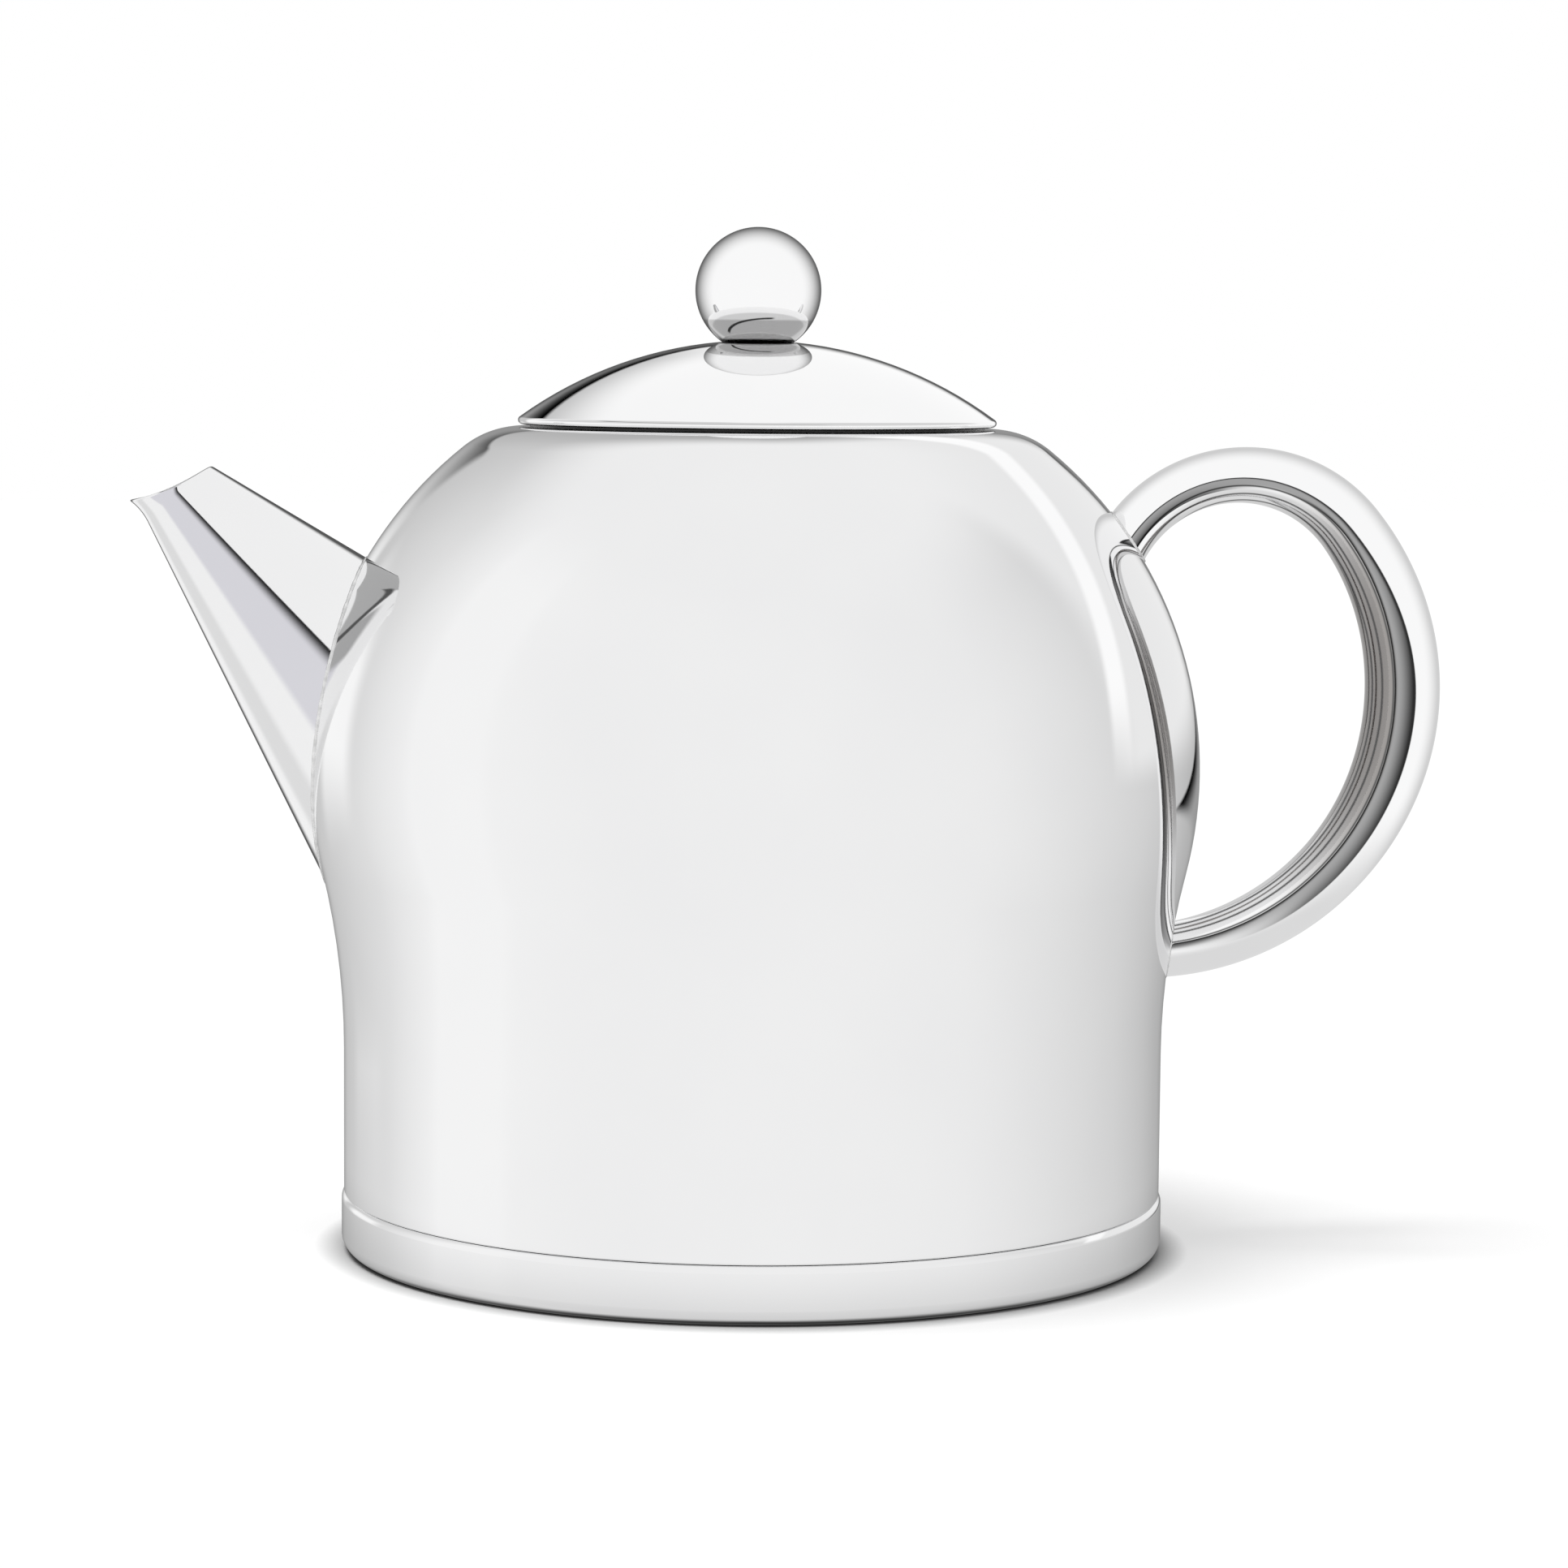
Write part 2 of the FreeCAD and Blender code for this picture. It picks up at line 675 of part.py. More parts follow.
def vessel_floor():
    """Shallow pan that closes the vessel."""
    body = new_body("vessel_floor")
    low = S["vessel_floor"] - S["sheet"]
    bend = S["vessel_corner"] + S["sheet"]
    shallow_pan(body, vessel_outside, low, pan_top, bend, S["sheet"])
    return body


def vessel_plug(body, name):
    """Draw half the section of all that lies inside the vessel's outer face, above its floor."""
    profile = Profile(body, name)
    vessel_skin(profile, S["vessel_floor"], S["sheet"])
    profile.line(0, profile.pen.y)
    axis = profile.line(0, S["vessel_floor"])
    profile.line(*profile.chain[0].start[:2])
    profile.close()
    profile.hold(profile.UPRIGHT_AXIS, axis, 2)
    return profile


# Spout

def along_spout(profile):
    """Lay a sketch with its origin at the point of the spout's cone and its upright axis down it."""
    sketch = profile.sketch
    swing = S["spout_slope"] + QUARTER_TURN
    corner = point(-float(cone_offset), cone_height)
    sketch.AttachmentOffset = FreeCAD.Placement(corner, FreeCAD.Rotation(-UP, float(swing)))
    sketch.setExpression(".AttachmentOffset.Base.x", f"-{cone_offset.text}")
    sketch.setExpression(".AttachmentOffset.Base.y", cone_height.text)
    sketch.setExpression(".AttachmentOffset.Rotation.Angle", swing.text)


def throat_section(body, name, bore, outer):
    """Draw a sleeve or a plug on the spout's axis, from the spout's mouth to inside the vessel."""
    profile = ring(body, name, bore, outer, S["spout_mouth"], throat_end)
    along_spout(profile)
    return profile


def spout_cone(body):
    """Draw the spout's wall, with its lip turned out."""
    profile = Profile(body, "ConeSection")
    along_spout(profile)
    taper = S["spout_taper"]
    slope = tangent(taper)
    run_in = S["spout_reach"] + S["throat_radius"]
    foot = run_in * cosine(taper) / cosine(S["spout_slope"] + taper)
    flare = spout_lip + S["lip_flare"]
    tip = spout_lip - S["spout_sheet"] * 2
    out = lip_radius - flare * slope
    sweep = (square(out) + square(S["lip_flare"])) / (S["lip_turn"] * cosine(taper) * 2)
    centre = (flare * slope + sweep * cosine(taper), flare - sweep * sine(taper))
    lean = (centre[1] - spout_lip) / (centre[0] - lip_radius)
    tip_out = lip_radius + (spout_lip - tip) * lean
    profile.start(foot * slope, foot)
    cone = profile.line(flare * slope, flare)
    turned = profile.arc(lip_radius, spout_lip, centre)
    end = profile.line(tip_out, tip, smooth=True)
    profile.bind_x(foot * slope, cone, 1)
    profile.bind_y(foot, cone, 1)
    profile.bind_x(flare * slope, cone, 2)
    profile.bind_y(flare, cone, 2)
    profile.bind_x(lip_radius, turned, 2)
    profile.bind_y(spout_lip, turned, 2)
    profile.bind_y(tip, end, 2)
    profile.thicken(S["spout_sheet"], RIGHT)
    return profile


def spout_scoop(body):
    """Draw what is cut away at the mouth: all beyond a hollow curve from its back to its lip."""
    profile = Profile(body, "MouthScoop")
    along_spout(profile)
    high = S["spout_mouth"]
    back = -(high * tangent(S["spout_taper"]))
    beyond = spout_lip / 2
    start = point(back, high)
    end = point(lip_radius, spout_lip)
    chord = end - start
    depth = math.sqrt(float(S["spout_scoop"]) ** 2 - (chord.Length / 2) ** 2)
    aside = FreeCAD.Vector(chord.y, -chord.x, 0).normalize() * depth
    centre = (start + end) / 2 + aside
    profile.start(*start[:2])
    scoop = profile.arc(*end[:2], centre[:2], clockwise=True)
    profile.line(high, spout_lip)
    right = profile.line(high, beyond)
    profile.line(-high, beyond)
    left = profile.line(-high, high)
    profile.line(*start[:2])
    profile.close()
    profile.bind_x(back, scoop, 2)
    profile.bind_y(high, scoop, 2)
    profile.bind_x(lip_radius, scoop, 1)
    profile.bind_y(spout_lip, scoop, 1)
    profile.bind(S["spout_scoop"], "Radius", scoop)
    profile.bind_x(high, right, 1)
    profile.bind_y(beyond, right, 2)
    profile.bind_x(-high, left, 1)
    return profile


def spout():
    """Sheet cone with a scooped mouth, trimmed to the outer wall."""
    body = new_body("spout")
    turn(body, spout_cone(body))
    punch(body, spout_scoop(body), S["wall_radius"], "Mouth", both_ways=True)
    turn(body, wall_plug(body, "InsideWall", as_size(0)), "Groove", "TrimToWall")
    return body


def spout_throat():
    """Sleeve that joins the spout to the vessel across the insulating gap."""
    body = new_body("spout_throat")
    turn(body, throat_section(body, "SleeveSection", throat_bore, S["throat_radius"]))
    turn(body, vessel_plug(body, "InsideVessel"), "Groove", "TrimToVessel")
    outside = Profile(body, "OutsideWall")
    flat = wall_skin(outside, S["band_height"], S["sheet"], S["mouth_radius"])
    outside.line(S["mouth_radius"], cone_height)
    far = outside.line(cone_offset, cone_height)
    outside.line(cone_offset, S["band_height"])
    outside.line(*outside.chain[0].start[:2])
    outside.close()
    outside.bind_x(S["mouth_radius"], flat, 2)
    outside.bind_x(cone_offset, far, 2)
    outside.bind_y(cone_height, far, 2)
    turn(body, outside, "Groove", "TrimToWall")
    return body


# Handle

def across_arc(body, name, centre, radius, angle, thickness):
    """Draw a round section square to an arc of the handle, at an angle round that arc."""
    profile = Profile(body, name, "XY_Plane")
    x = centre[0] + radius * cosine(angle)
    z = centre[1] + radius * sine(angle)
    swing = FreeCAD.Rotation(FreeCAD.Vector(0, -1, 0), float(angle))
    profile.sketch.AttachmentOffset = FreeCAD.Placement(FreeCAD.Vector(float(x), 0, float(z)), swing)
    profile.sketch.setExpression(".AttachmentOffset.Base.x", x.text)
    profile.sketch.setExpression(".AttachmentOffset.Base.z", z.text)
    profile.circle(0, 0, thickness / 2)
    return profile.sketch


def handle():
    """Hollow tube that swells towards the grip, trimmed to the outer wall at both ends."""
    body = new_body("handle")
    crown = S["crown_round"]
    grip = S["grip_drop"] - S["handle_drop"] + S["crown_sink"]
    grip_centre = (S["wall_radius"] + S["handle_reach"] - grip, S["shoulder_height"] - S["grip_drop"])
    crown_z = S["shoulder_height"] - S["handle_drop"] - crown
    rise = crown_z - grip_centre[1]
    crown_x = grip_centre[0] + root(square(grip - crown) - square(rise))
    crown_centre = (crown_x, crown_z)
    meet = toward(grip_centre, crown_centre, float(grip / (grip - crown)))

    line = Profile(body, "CentreLine")
    line.start(crown_x - crown, crown_z)
    over = line.arc(*meet, crown_centre, clockwise=True)
    down = line.arc(grip_centre[0], grip_centre[1] - grip, grip_centre, clockwise=True)
    line.rule("Horizontal", over, 2, over, line.CENTRE)
    line.rule("Vertical", down, 1, down, line.CENTRE)
    line.bind(crown, "Radius", over)
    line.bind(grip, "Radius", down)
    line.bind_y(crown_z, over, line.CENTRE)
    line.bind_x(grip_centre[0], down, line.CENTRE)
    line.bind_y(grip_centre[1], down, line.CENTRE)

    stations = (
        (crown_centre, crown, HALF_TURN, S["handle_top"]),
        (crown_centre, crown, QUARTER_TURN, S["handle_crown"]),
        (crown_centre, crown, EIGHTH_TURN, S["handle_bend"]),
        (grip_centre, grip, 0, S["handle_grip"]),
        (grip_centre, grip, -EIGHTH_TURN, S["handle_lower"]),
        (grip_centre, grip, -QUARTER_TURN, S["handle_foot"]),
    )
    skins = (("Additive", "Tube", 0), ("Subtractive", "Bore", S["handle_sheet"] * 2))
    for kind, name, wall in skins:
        sections = []
        for number, (centre, radius, angle, thickness) in enumerate(stations, start=1):
            place = f"{name}Section{number}"
            sections.append(across_arc(body, place, centre, radius, as_size(angle), thickness - wall))
        pipe = body.newObject(f"PartDesign::{kind}Pipe", name)
        pipe.Profile = sections[0]
        pipe.Spine = (line.sketch, ["Edge1", "Edge2"])
        pipe.Transformation = "Multisection"
        pipe.Sections = [(section, [""]) for section in sections[1:]]
    turn(body, wall_plug(body, "InsideWall", as_size(0)), "Groove", "TrimToWall")
    return body


# Lid

def lid_cover():
    """Domed lid with a flat for the knob, a rolled rim and a hem that it rests on."""
    body = new_body("lid_cover")
    profile = Profile(body, "LidSection")
    rim = S["lid_rim"]
    pad = S["knob_foot"] + S["knob_pad"]
    pad_centre = point(pad, lid_crown - rim)
    rim_centre = point(lid_radius - rim, lid_seat + rim)
    gain = pad_centre.dot(pad_centre) - rim_centre.dot(rim_centre)
    dome_centre = point(0, gain / (2 * (pad_centre.y - rim_centre.y)))
    reach = (pad_centre - dome_centre).Length
    share = (reach + float(rim)) / reach
    profile.start(hole_radius, lid_crown)
    top = profile.line(pad, lid_crown)
    bend = profile.arc(*toward(dome_centre, pad_centre, share)[:2], pad_centre[:2], clockwise=True)
    dome = profile.arc(*toward(dome_centre, rim_centre, share)[:2], dome_centre[:2], clockwise=True)
    roll = profile.arc(rim_centre.x, lid_seat, rim_centre[:2], clockwise=True)
    hem = profile.line(hem_radius, lid_seat, smooth=True)
    profile.bind_x(hole_radius, top, 1)
    profile.bind_y(lid_crown, top, 1)
    profile.bind_x(pad, top, 2)
    profile.bind(rim, "Radius", bend)
    profile.hold(profile.UPRIGHT_AXIS, dome, profile.CENTRE)
    profile.bind(rim, "Radius", roll)
    profile.bind_x(lid_radius - rim, roll, profile.CENTRE)
    profile.bind_y(lid_seat, hem, 2)
    profile.bind_x(hem_radius, hem, 2)
    profile.thicken(S["lid_sheet"], RIGHT)
    turn(body, profile)
    return body


def lid_skirt():
    """Ring that hangs in the mouth, with a flange laid on the lid's hem."""
    body = new_body("lid_skirt")
    rim = hem_radius + S["skirt_lap"]
    top = lid_seat + S["lid_sheet"]
    low = lid_seat - S["skirt_depth"]
    angle_ring(body, S["lid_sheet"], rim, skirt_radius, top, low, S["skirt_bend"], RIGHT)
    return body


# Knob

knob_centre = lid_crown + root(square(S["knob_radius"]) - square(S["knob_foot"]))
insert_foot = lid_crown + S["knob_wall"]
insert_top = insert_foot + S["insert_height"]
washer_top = lid_crown - S["lid_sheet"]
head_top = washer_top - S["washer_height"]
head_low = head_top - S["head_height"]


def ball_section(body, name, radius, low):
    """Draw half the section of a ball on the axis, cut flat at a height."""
    profile = Profile(body, name)
    down = knob_centre - low
    foot = root(square(radius) - square(down))
    profile.start(0, low)
    flat = profile.line(foot, low)
    ball = profile.arc(0, knob_centre + radius, (0, knob_centre), smooth=False)
    axis = profile.line(0, low)
    profile.close()
    profile.hold(profile.UPRIGHT_AXIS, axis, 1)
    profile.hold(profile.UPRIGHT_AXIS, ball, profile.CENTRE)
    profile.bind(radius, "Radius", ball)
    profile.bind_y(knob_centre, ball, profile.CENTRE)
    profile.bind_y(low, flat, 1)
    return profile


def knob_ball():
    """Hollow ball with a flat foot and a hole for the screw."""
    body = new_body("knob_ball")
    turn(body, ball_section(body, "BallSection", S["knob_radius"], lid_crown))
    hollow = ball_section(body, "HollowSection", S["knob_radius"] - S["knob_wall"], insert_foot)
    turn(body, hollow, "Groove", "Hollow")
    hole = ring(body, "HoleSection", None, hole_radius, lid_crown, knob_centre)
    turn(body, hole, "Groove", "ScrewHole")
    return body


def knob_insert():
    """Threaded bush on the ball's foot, inside it."""
    body = new_body("knob_insert")
    bore = S["screw_radius"] + S["screw_fit"]
    turn(body, ring(body, "BushSection", bore, S["insert_radius"], insert_foot, insert_top))
    return body


def knob_washer():
    """Washer under the lid's crown."""
    body = new_body("knob_washer")
    turn(body, ring(body, "WasherSection", hole_radius, S["washer_radius"], head_top, washer_top))
    return body


def knob_screw():
    """Slotted screw up through the washer and the lid into the bush."""
    body = new_body("knob_screw")
    profile = Profile(body, "ScrewSection")
    tip = insert_top - S["screw_spare"]
    profile.start(0, head_low)
    face = profile.line(S["screw_head"], head_low)
    rim = profile.line(S["screw_head"], head_top)
    profile.line(S["screw_radius"], head_top)
    shank = profile.line(S["screw_radius"], tip)
    profile.line(0, tip)
    axis = profile.line(0, head_low)
    profile.close()
    profile.hold(profile.UPRIGHT_AXIS, axis, 1)
    profile.bind_y(head_low, face, 1)
    profile.bind_x(S["screw_head"], rim, 1)
    profile.bind_y(head_top, rim, 2)
    profile.bind_x(S["screw_radius"], shank, 1)
    profile.bind_y(tip, shank, 2)
    turn(body, profile)
    slot = lifted(body, "SlotSection", head_low)
    half_width = S["slot_width"] / 2
    half_length = S["screw_head"] + S["screw_hole"]
    slot.start(-half_length, -half_width)
    near = slot.line(half_length, -half_width)
    slot.line(half_length, half_width)
    far = slot.line(-half_length, half_width)
    slot.line(-half_length, -half_width)
    slot.close()
    slot.bind_x(half_length, near, 2)
    slot.bind_y(-half_width, near, 2)
    slot.bind_x(-half_length, far, 2)
    slot.bind_y(half_width, far, 2)
    punch(body, slot, S["slot_depth"], "Slot", reverse=True)
    return body


# Tea basket

def infuser_collar():
    """Ring whose flange hangs the basket on the ledge and carries the lid."""
    body = new_body("infuser_collar")
    bore = basket_radius - collar_sheet
    angle_ring(body, collar_sheet, flange_radius, bore, lid_seat, collar_foot, S["collar_bend"], LEFT)
    return body


def around(body, feature, count, name, angle=FULL_TURN):
    """Repeat a cut evenly round the vessel's axis, over a full turn or part of one."""
    pattern = body.newObject("PartDesign::PolarPattern", name)
    pattern.Originals = [feature]
    axis = next(item for item in body.Origin.OriginFeatures if item.Role == "Z_Axis")
    pattern.Axis = (axis, [""])
    pattern.Mode = "Spacing"
    pattern.setExpression("Offset", f"{angle} / {count.text}")
    pattern.setExpression("Occurrences", count.text)
    body.Tip = pattern


def infuser_basket():
    """Perforated wall, with its rows of holes staggered."""
    body = new_body("infuser_basket")
    bore = basket_radius - S["basket_sheet"]
    turn(body, ring(body, "WallSection", bore, basket_radius, basket_foot, collar_foot))
    row_pitch = S["basket_height"] / (S["basket_rows"] + 1)
    half_step = as_size(QUARTER_TURN) / S["basket_pairs"]
    for name, first in (("Even", 1), ("Odd", 2)):
        column = Profile(body, name + "Rows", "YZ_Plane")
        for row in range(first, int(S["basket_rows"].value) + 1, 2):
            column.circle(0, basket_foot + row_pitch * row, S["basket_hole"])
        if name == "Odd":
            swing = FreeCAD.Rotation(FreeCAD.Vector(0, 1, 0), float(half_step))
            column.sketch.AttachmentOffset = FreeCAD.Placement(FreeCAD.Vector(), swing)
            column.sketch.setExpression(".AttachmentOffset.Rotation.Angle", half_step.text)
        holes = punch(body, column, neck_radius * 2, name + "Holes", both_ways=True)
        around(body, holes, S["basket_pairs"], name + "Round", HALF_TURN)
    return body


def infuser_floor():
    """Shallow perforated pan that closes the basket."""
    body = new_body("infuser_floor")
    low = basket_foot - S["basket_rim"]
    bend = S["basket_bend"]
    shallow_pan(body, basket_radius, low, basket_foot, bend, S["basket_sheet"])
    for number in range(1, int(S["floor_rings"].value) + 1):
        place = lifted(body, f"Ring{number}", low)
        place.circle(S["floor_pitch"] * number, 0, S["basket_hole"])
        hole = punch(body, place, bend, f"Ring{number}Hole", reverse=True)
        around(body, hole, as_size(RING_HOLES * number), f"Ring{number}Round")
    return body


# Build, check and write

def report_faults(bodies):
    """Stop if any object failed or any sub-part has no sound solid."""
    faults = [item.Name for item in doc.Objects if {"Invalid", "Error"} & set(item.State)]
    for body in bodies:
        shape = body.Shape
        if shape.isNull() or not shape.isValid() or len(shape.Solids) != 1:
            faults.append(body.Label)
    if faults:
        raise RuntimeError("failed: " + ", ".join(faults))


def main():
    """Build every sub-part and write one file for each."""
    makers = (
        outer_shell, base_cup, vessel_neck, vessel_dome, vessel_wall, vessel_floor,
        spout, spout_throat, handle,
        lid_cover, lid_skirt, knob_ball, knob_insert, knob_washer, knob_screw,
        infuser_collar, infuser_basket, infuser_floor,
    )
    bodies = [maker() for maker in makers]
    doc.recompute()
    report_faults(bodies)
    os.makedirs("parts", exist_ok=True)
    for body in bodies:
        body.Shape.exportStep(f"parts/{body.Label}.step")
        print(f"{body.Label}: {body.Shape.Volume:.1f} mm3")


main()
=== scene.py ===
"""Looks of a double-walled polished steel teapot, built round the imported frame.

Metres, in the frame's axes: the origin is the centre of the foot, +Z is up, +X points to the
handle and -X to the spout. The seen pieces are rebuilt as dense meshes with exact normals, so
that their mirror finish is clean, and the rest of the frame's nodes get finishes of their own.
"""

import math

import bmesh
import bpy
import numpy as np
from mathutils import Matrix, Vector

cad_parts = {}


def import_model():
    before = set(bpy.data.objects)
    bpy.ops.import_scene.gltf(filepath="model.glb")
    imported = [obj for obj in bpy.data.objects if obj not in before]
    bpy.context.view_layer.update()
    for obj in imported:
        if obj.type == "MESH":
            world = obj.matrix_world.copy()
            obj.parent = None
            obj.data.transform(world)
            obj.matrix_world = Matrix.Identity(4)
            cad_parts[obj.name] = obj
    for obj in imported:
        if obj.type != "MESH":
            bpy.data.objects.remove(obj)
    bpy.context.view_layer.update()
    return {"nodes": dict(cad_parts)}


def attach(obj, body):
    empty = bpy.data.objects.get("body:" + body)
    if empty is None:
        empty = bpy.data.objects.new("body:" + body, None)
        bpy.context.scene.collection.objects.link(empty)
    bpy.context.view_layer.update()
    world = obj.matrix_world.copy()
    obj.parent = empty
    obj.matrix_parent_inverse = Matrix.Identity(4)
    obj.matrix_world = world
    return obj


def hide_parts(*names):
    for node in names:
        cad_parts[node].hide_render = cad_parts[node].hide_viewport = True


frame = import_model()

MM = 0.001
DEGREE = math.pi / 180
FULL_TURN = 2 * math.pi

# Driving sizes of the seen pieces
SHEET = 0.6 * MM
WALL_RADIUS = 80 * MM
WAIST_ROUND = 148 * MM
BELLY_RADIUS = 86.7 * MM
BELLY_HEIGHT = 94 * MM
MOUTH_RADIUS = 44.3 * MM
SHOULDER_FLAT = 1.3 * MM
SHOULDER_ROUND = 18 * MM
SHOULDER_HEIGHT = 160.3 * MM
BAND_HEIGHT = 11.6 * MM
BAND_RADIUS = 80.45 * MM
BAND_ROUND = 1.6 * MM
BAND_CREASE = 0.4 * MM
FOOT_ROUND = 3 * MM
FOOT_LIP = 6 * MM
FOOT_RECESS = 2 * MM
FOOT_RING = 12 * MM
FOOT_BEND = 3 * MM
WELD_GAP = 0.1 * MM
WELD_RADIUS = 0.35 * MM
SPOUT_POINT = np.array([-131.1, 0, 166.7]) * MM
SPOUT_SLOPE = 47 * DEGREE
SPOUT_TAPER = 16.6 * DEGREE
SPOUT_SHEET = 0.8 * MM
SPOUT_MOUTH = 28.2 * MM
SPOUT_SCOOP = 38 * MM
SPOUT_FOOT = 142 * MM
LIP_REACH = 5.8 * MM
LIP_FLARE = 5.1 * MM
LIP_TURN = 1.22 * MM
THROAT_BORE = 14.4 * MM
HANDLE_SHEET = 1 * MM
HANDLE_REACH = 126.24 * MM
HANDLE_TOP = 151.9 * MM
GRIP_HEIGHT = 110.1 * MM
GRIP_ROUND = 51.7 * MM
CROWN_ROUND = 26.6 * MM
LID_SEAT = 160.7 * MM
LID_CROWN = 176.8 * MM
LID_RADIUS = 46.4 * MM
LID_RIM = 0.8 * MM
LID_HEM = 42 * MM
FLANGE_RADIUS = 44 * MM
KNOB_RADIUS = 12.2 * MM
KNOB_FOOT = 7 * MM
KNOB_PAD = 0.4 * MM
KNOB_WALL = 1.2 * MM
SCREW_HOLE = 2.3 * MM

# Handle's thickness at angles round its two arcs
HANDLE_CROWN_STATIONS = ((180, 10.3 * MM), (90, 10.8 * MM), (45, 12.4 * MM))
HANDLE_GRIP_STATIONS = ((0, 14.6 * MM), (-45, 12.9 * MM), (-90, 10.2 * MM))

# Fineness of the meshes
ROUND_STEPS = 288
ARC_STEP = 2 * DEGREE
ARC_FEWEST = 4
EDGE_STEPS = 8
SPOUT_STEPS = 192
SPOUT_ROWS = 72
SPOUT_CROWDING = 1.5
HANDLE_STEPS = 96
HANDLE_ROWS = 240
WELD_SIDES = 10
DOME_STEPS = 64
BISECTIONS = 48

# Distance below which places count as the same
TOUCH = 1e-9


# Outlines

class Outline:
    """A run of lines and arcs in the half plane, as (distance from the axis, height)."""

    def __init__(self, *start):
        self.pen = np.array(start, float)
        self.stretches = []

    def line(self, *end):
        """Run straight to a place."""
        end = np.array(end, float)
        along = unit(end - self.pen)
        self._add(np.array([self.pen, end]), np.array([along, along]))

    def arc(self, end, centre, turn):
        """Run round a centre to a place, anticlockwise where turn is 1 and clockwise where it is -1."""
        end = np.array(end, float)
        centre = np.array(centre, float)
        first = math.atan2(*(self.pen - centre)[::-1])
        last = math.atan2(*(end - centre)[::-1])
        sweep = (last - first) * turn % FULL_TURN
        angles = first + turn * np.linspace(0, sweep, max(ARC_FEWEST, round(sweep / ARC_STEP)) + 1)
        spokes = np.stack([np.cos(angles), np.sin(angles)], 1)
        radius = np.linalg.norm(self.pen - centre)
        tangents = turn * np.stack([-spokes[:, 1], spokes[:, 0]], 1)
        self._add(centre + radius * spokes, tangents)

    def _add(self, points, tangents):
        normals = np.stack([tangents[:, 1], -tangents[:, 0]], 1)
        self.stretches.append((points, normals))
        self.pen = points[-1]

    def samples(self):
        """All places and the normals on the right of the run, with shared ends kept once."""
        points = [self.stretches[0][0][:1]] + [points[1:] for points, _ in self.stretches]
        normals = [self.stretches[0][1][:1]] + [normals[1:] for _, normals in self.stretches]
        return np.concatenate(points), np.concatenate(normals)


def unit(vectors):
    """Vectors brought to a length of one."""
    return vectors / np.linalg.norm(vectors, axis=-1, keepdims=True)


def sheet(outline, gauge, side=1):
    """Section of a sheet: a smooth outline, its twin a gauge behind it, and rounded edges.

    The outline's own skin faces right where side is 1 and left where it is -1. An end on the
    axis has no edge.
    """
    points, normals = outline.samples()
    normals = normals * side
    twin = points - normals * gauge
    section = [(points, normals)]
    if points[-1, 0] > 0:
        section.append(sheet_edge(points[-1], twin[-1], side))
    section.append((twin[::-1], -normals[::-1]))
    if points[0, 0] > 0:
        section.append(sheet_edge(twin[0], points[0], side))
    return section


def sheet_edge(start, end, side):
    """Half round from one skin of a sheet to the other."""
    half = (start - end) / 2
    ahead = side * np.array([-half[1], half[0]])
    turns = np.linspace(0, math.pi, EDGE_STEPS + 1)[:, None]
    offsets = np.cos(turns) * half + np.sin(turns) * ahead
    return (start + end) / 2 + offsets, unit(offsets)


# Meshes

def new_piece(name, strips, body, node=None):
    """A closed smooth mesh that rides on a body, in place of a node where one is given.

    A strip is a grid of places and a grid of their normals. Each starts on the row where the one
    before it ended, and the last ends on the first row of all, unless both are single points.
    """
    ends = strips[0][0][:1], strips[-1][0][-1:]
    rows = [grid[:-1] for grid, _ in strips]
    if not np.allclose(*ends, atol=TOUCH):
        rows.append(ends[1])
    rows = np.concatenate(rows)
    poles = np.ptp(rows, axis=1).max(1) < TOUCH
    counts = np.where(poles, 1, rows.shape[1])
    numbers = (np.cumsum(counts) - counts)[:, None] + np.where(poles[:, None], 0, np.arange(rows.shape[1]))
    vertices = np.concatenate([row[:count] for row, count in zip(rows, counts)])
    faces = []
    facing = []
    first = 0
    for grid, normals in strips:
        lines = (first + np.arange(len(grid))) % len(rows)
        for corners, directions in zip(cells(numbers[lines]), cells(normals)):
            kept = kept_corners(vertices[corners], directions)
            faces.extend(corners[:, kept].tolist())
            facing.extend(directions[:, kept].reshape(-1, 3).tolist())
        first += len(grid) - 1
    mesh = bpy.data.meshes.new(name)
    mesh.from_pydata(vertices.tolist(), [], faces)
    mesh.shade_smooth()
    mesh.normals_split_custom_set(facing)
    piece = bpy.data.objects.new(name, mesh)
    bpy.context.scene.collection.objects.link(piece)
    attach(piece, body)
    if node:
        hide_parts(node)
    return piece


def cells(grid):
    """Corners of a grid's cells, row by row. Its columns close on themselves."""
    after = np.roll(grid, -1, 1)
    return np.stack([grid[:-1], after[:-1], after[1:], grid[1:]], 2)


def kept_corners(corners, directions):
    """Which corners a row of cells keeps, wound to agree with the normals.

    A side that has shrunk to a point loses one of its two corners.
    """
    kept = [0, 1, 2, 3]
    if np.allclose(corners[:, 0], corners[:, 1], atol=TOUCH):
        kept.remove(1)
    if np.allclose(corners[:, 2], corners[:, 3], atol=TOUCH):
        kept.remove(3)
    first, second, third = (corners[:, corner] for corner in kept[:3])
    outward = np.cross(second - first, third - first) * directions[:, 0]
    return kept if outward.sum() > 0 else kept[::-1]


def turned(name, section, body, node):
    """Turn a closed section about the vessel's axis, with its exact normals."""
    strips = [(round_axis(points), round_axis(normals)) for points, normals in section]
    return new_piece(name, strips, body, node)


def round_axis(pairs):
    """Pairs of distance and height, taken round the vessel's axis."""
    angles = np.arange(ROUND_STEPS) / ROUND_STEPS * FULL_TURN
    flat = pairs[:, None, :1] * np.stack([np.cos(angles), np.sin(angles)], 1)
    heights = np.broadcast_to(pairs[:, None, 1:], flat.shape[:2] + (1,))
    return np.concatenate([flat, heights], 2)


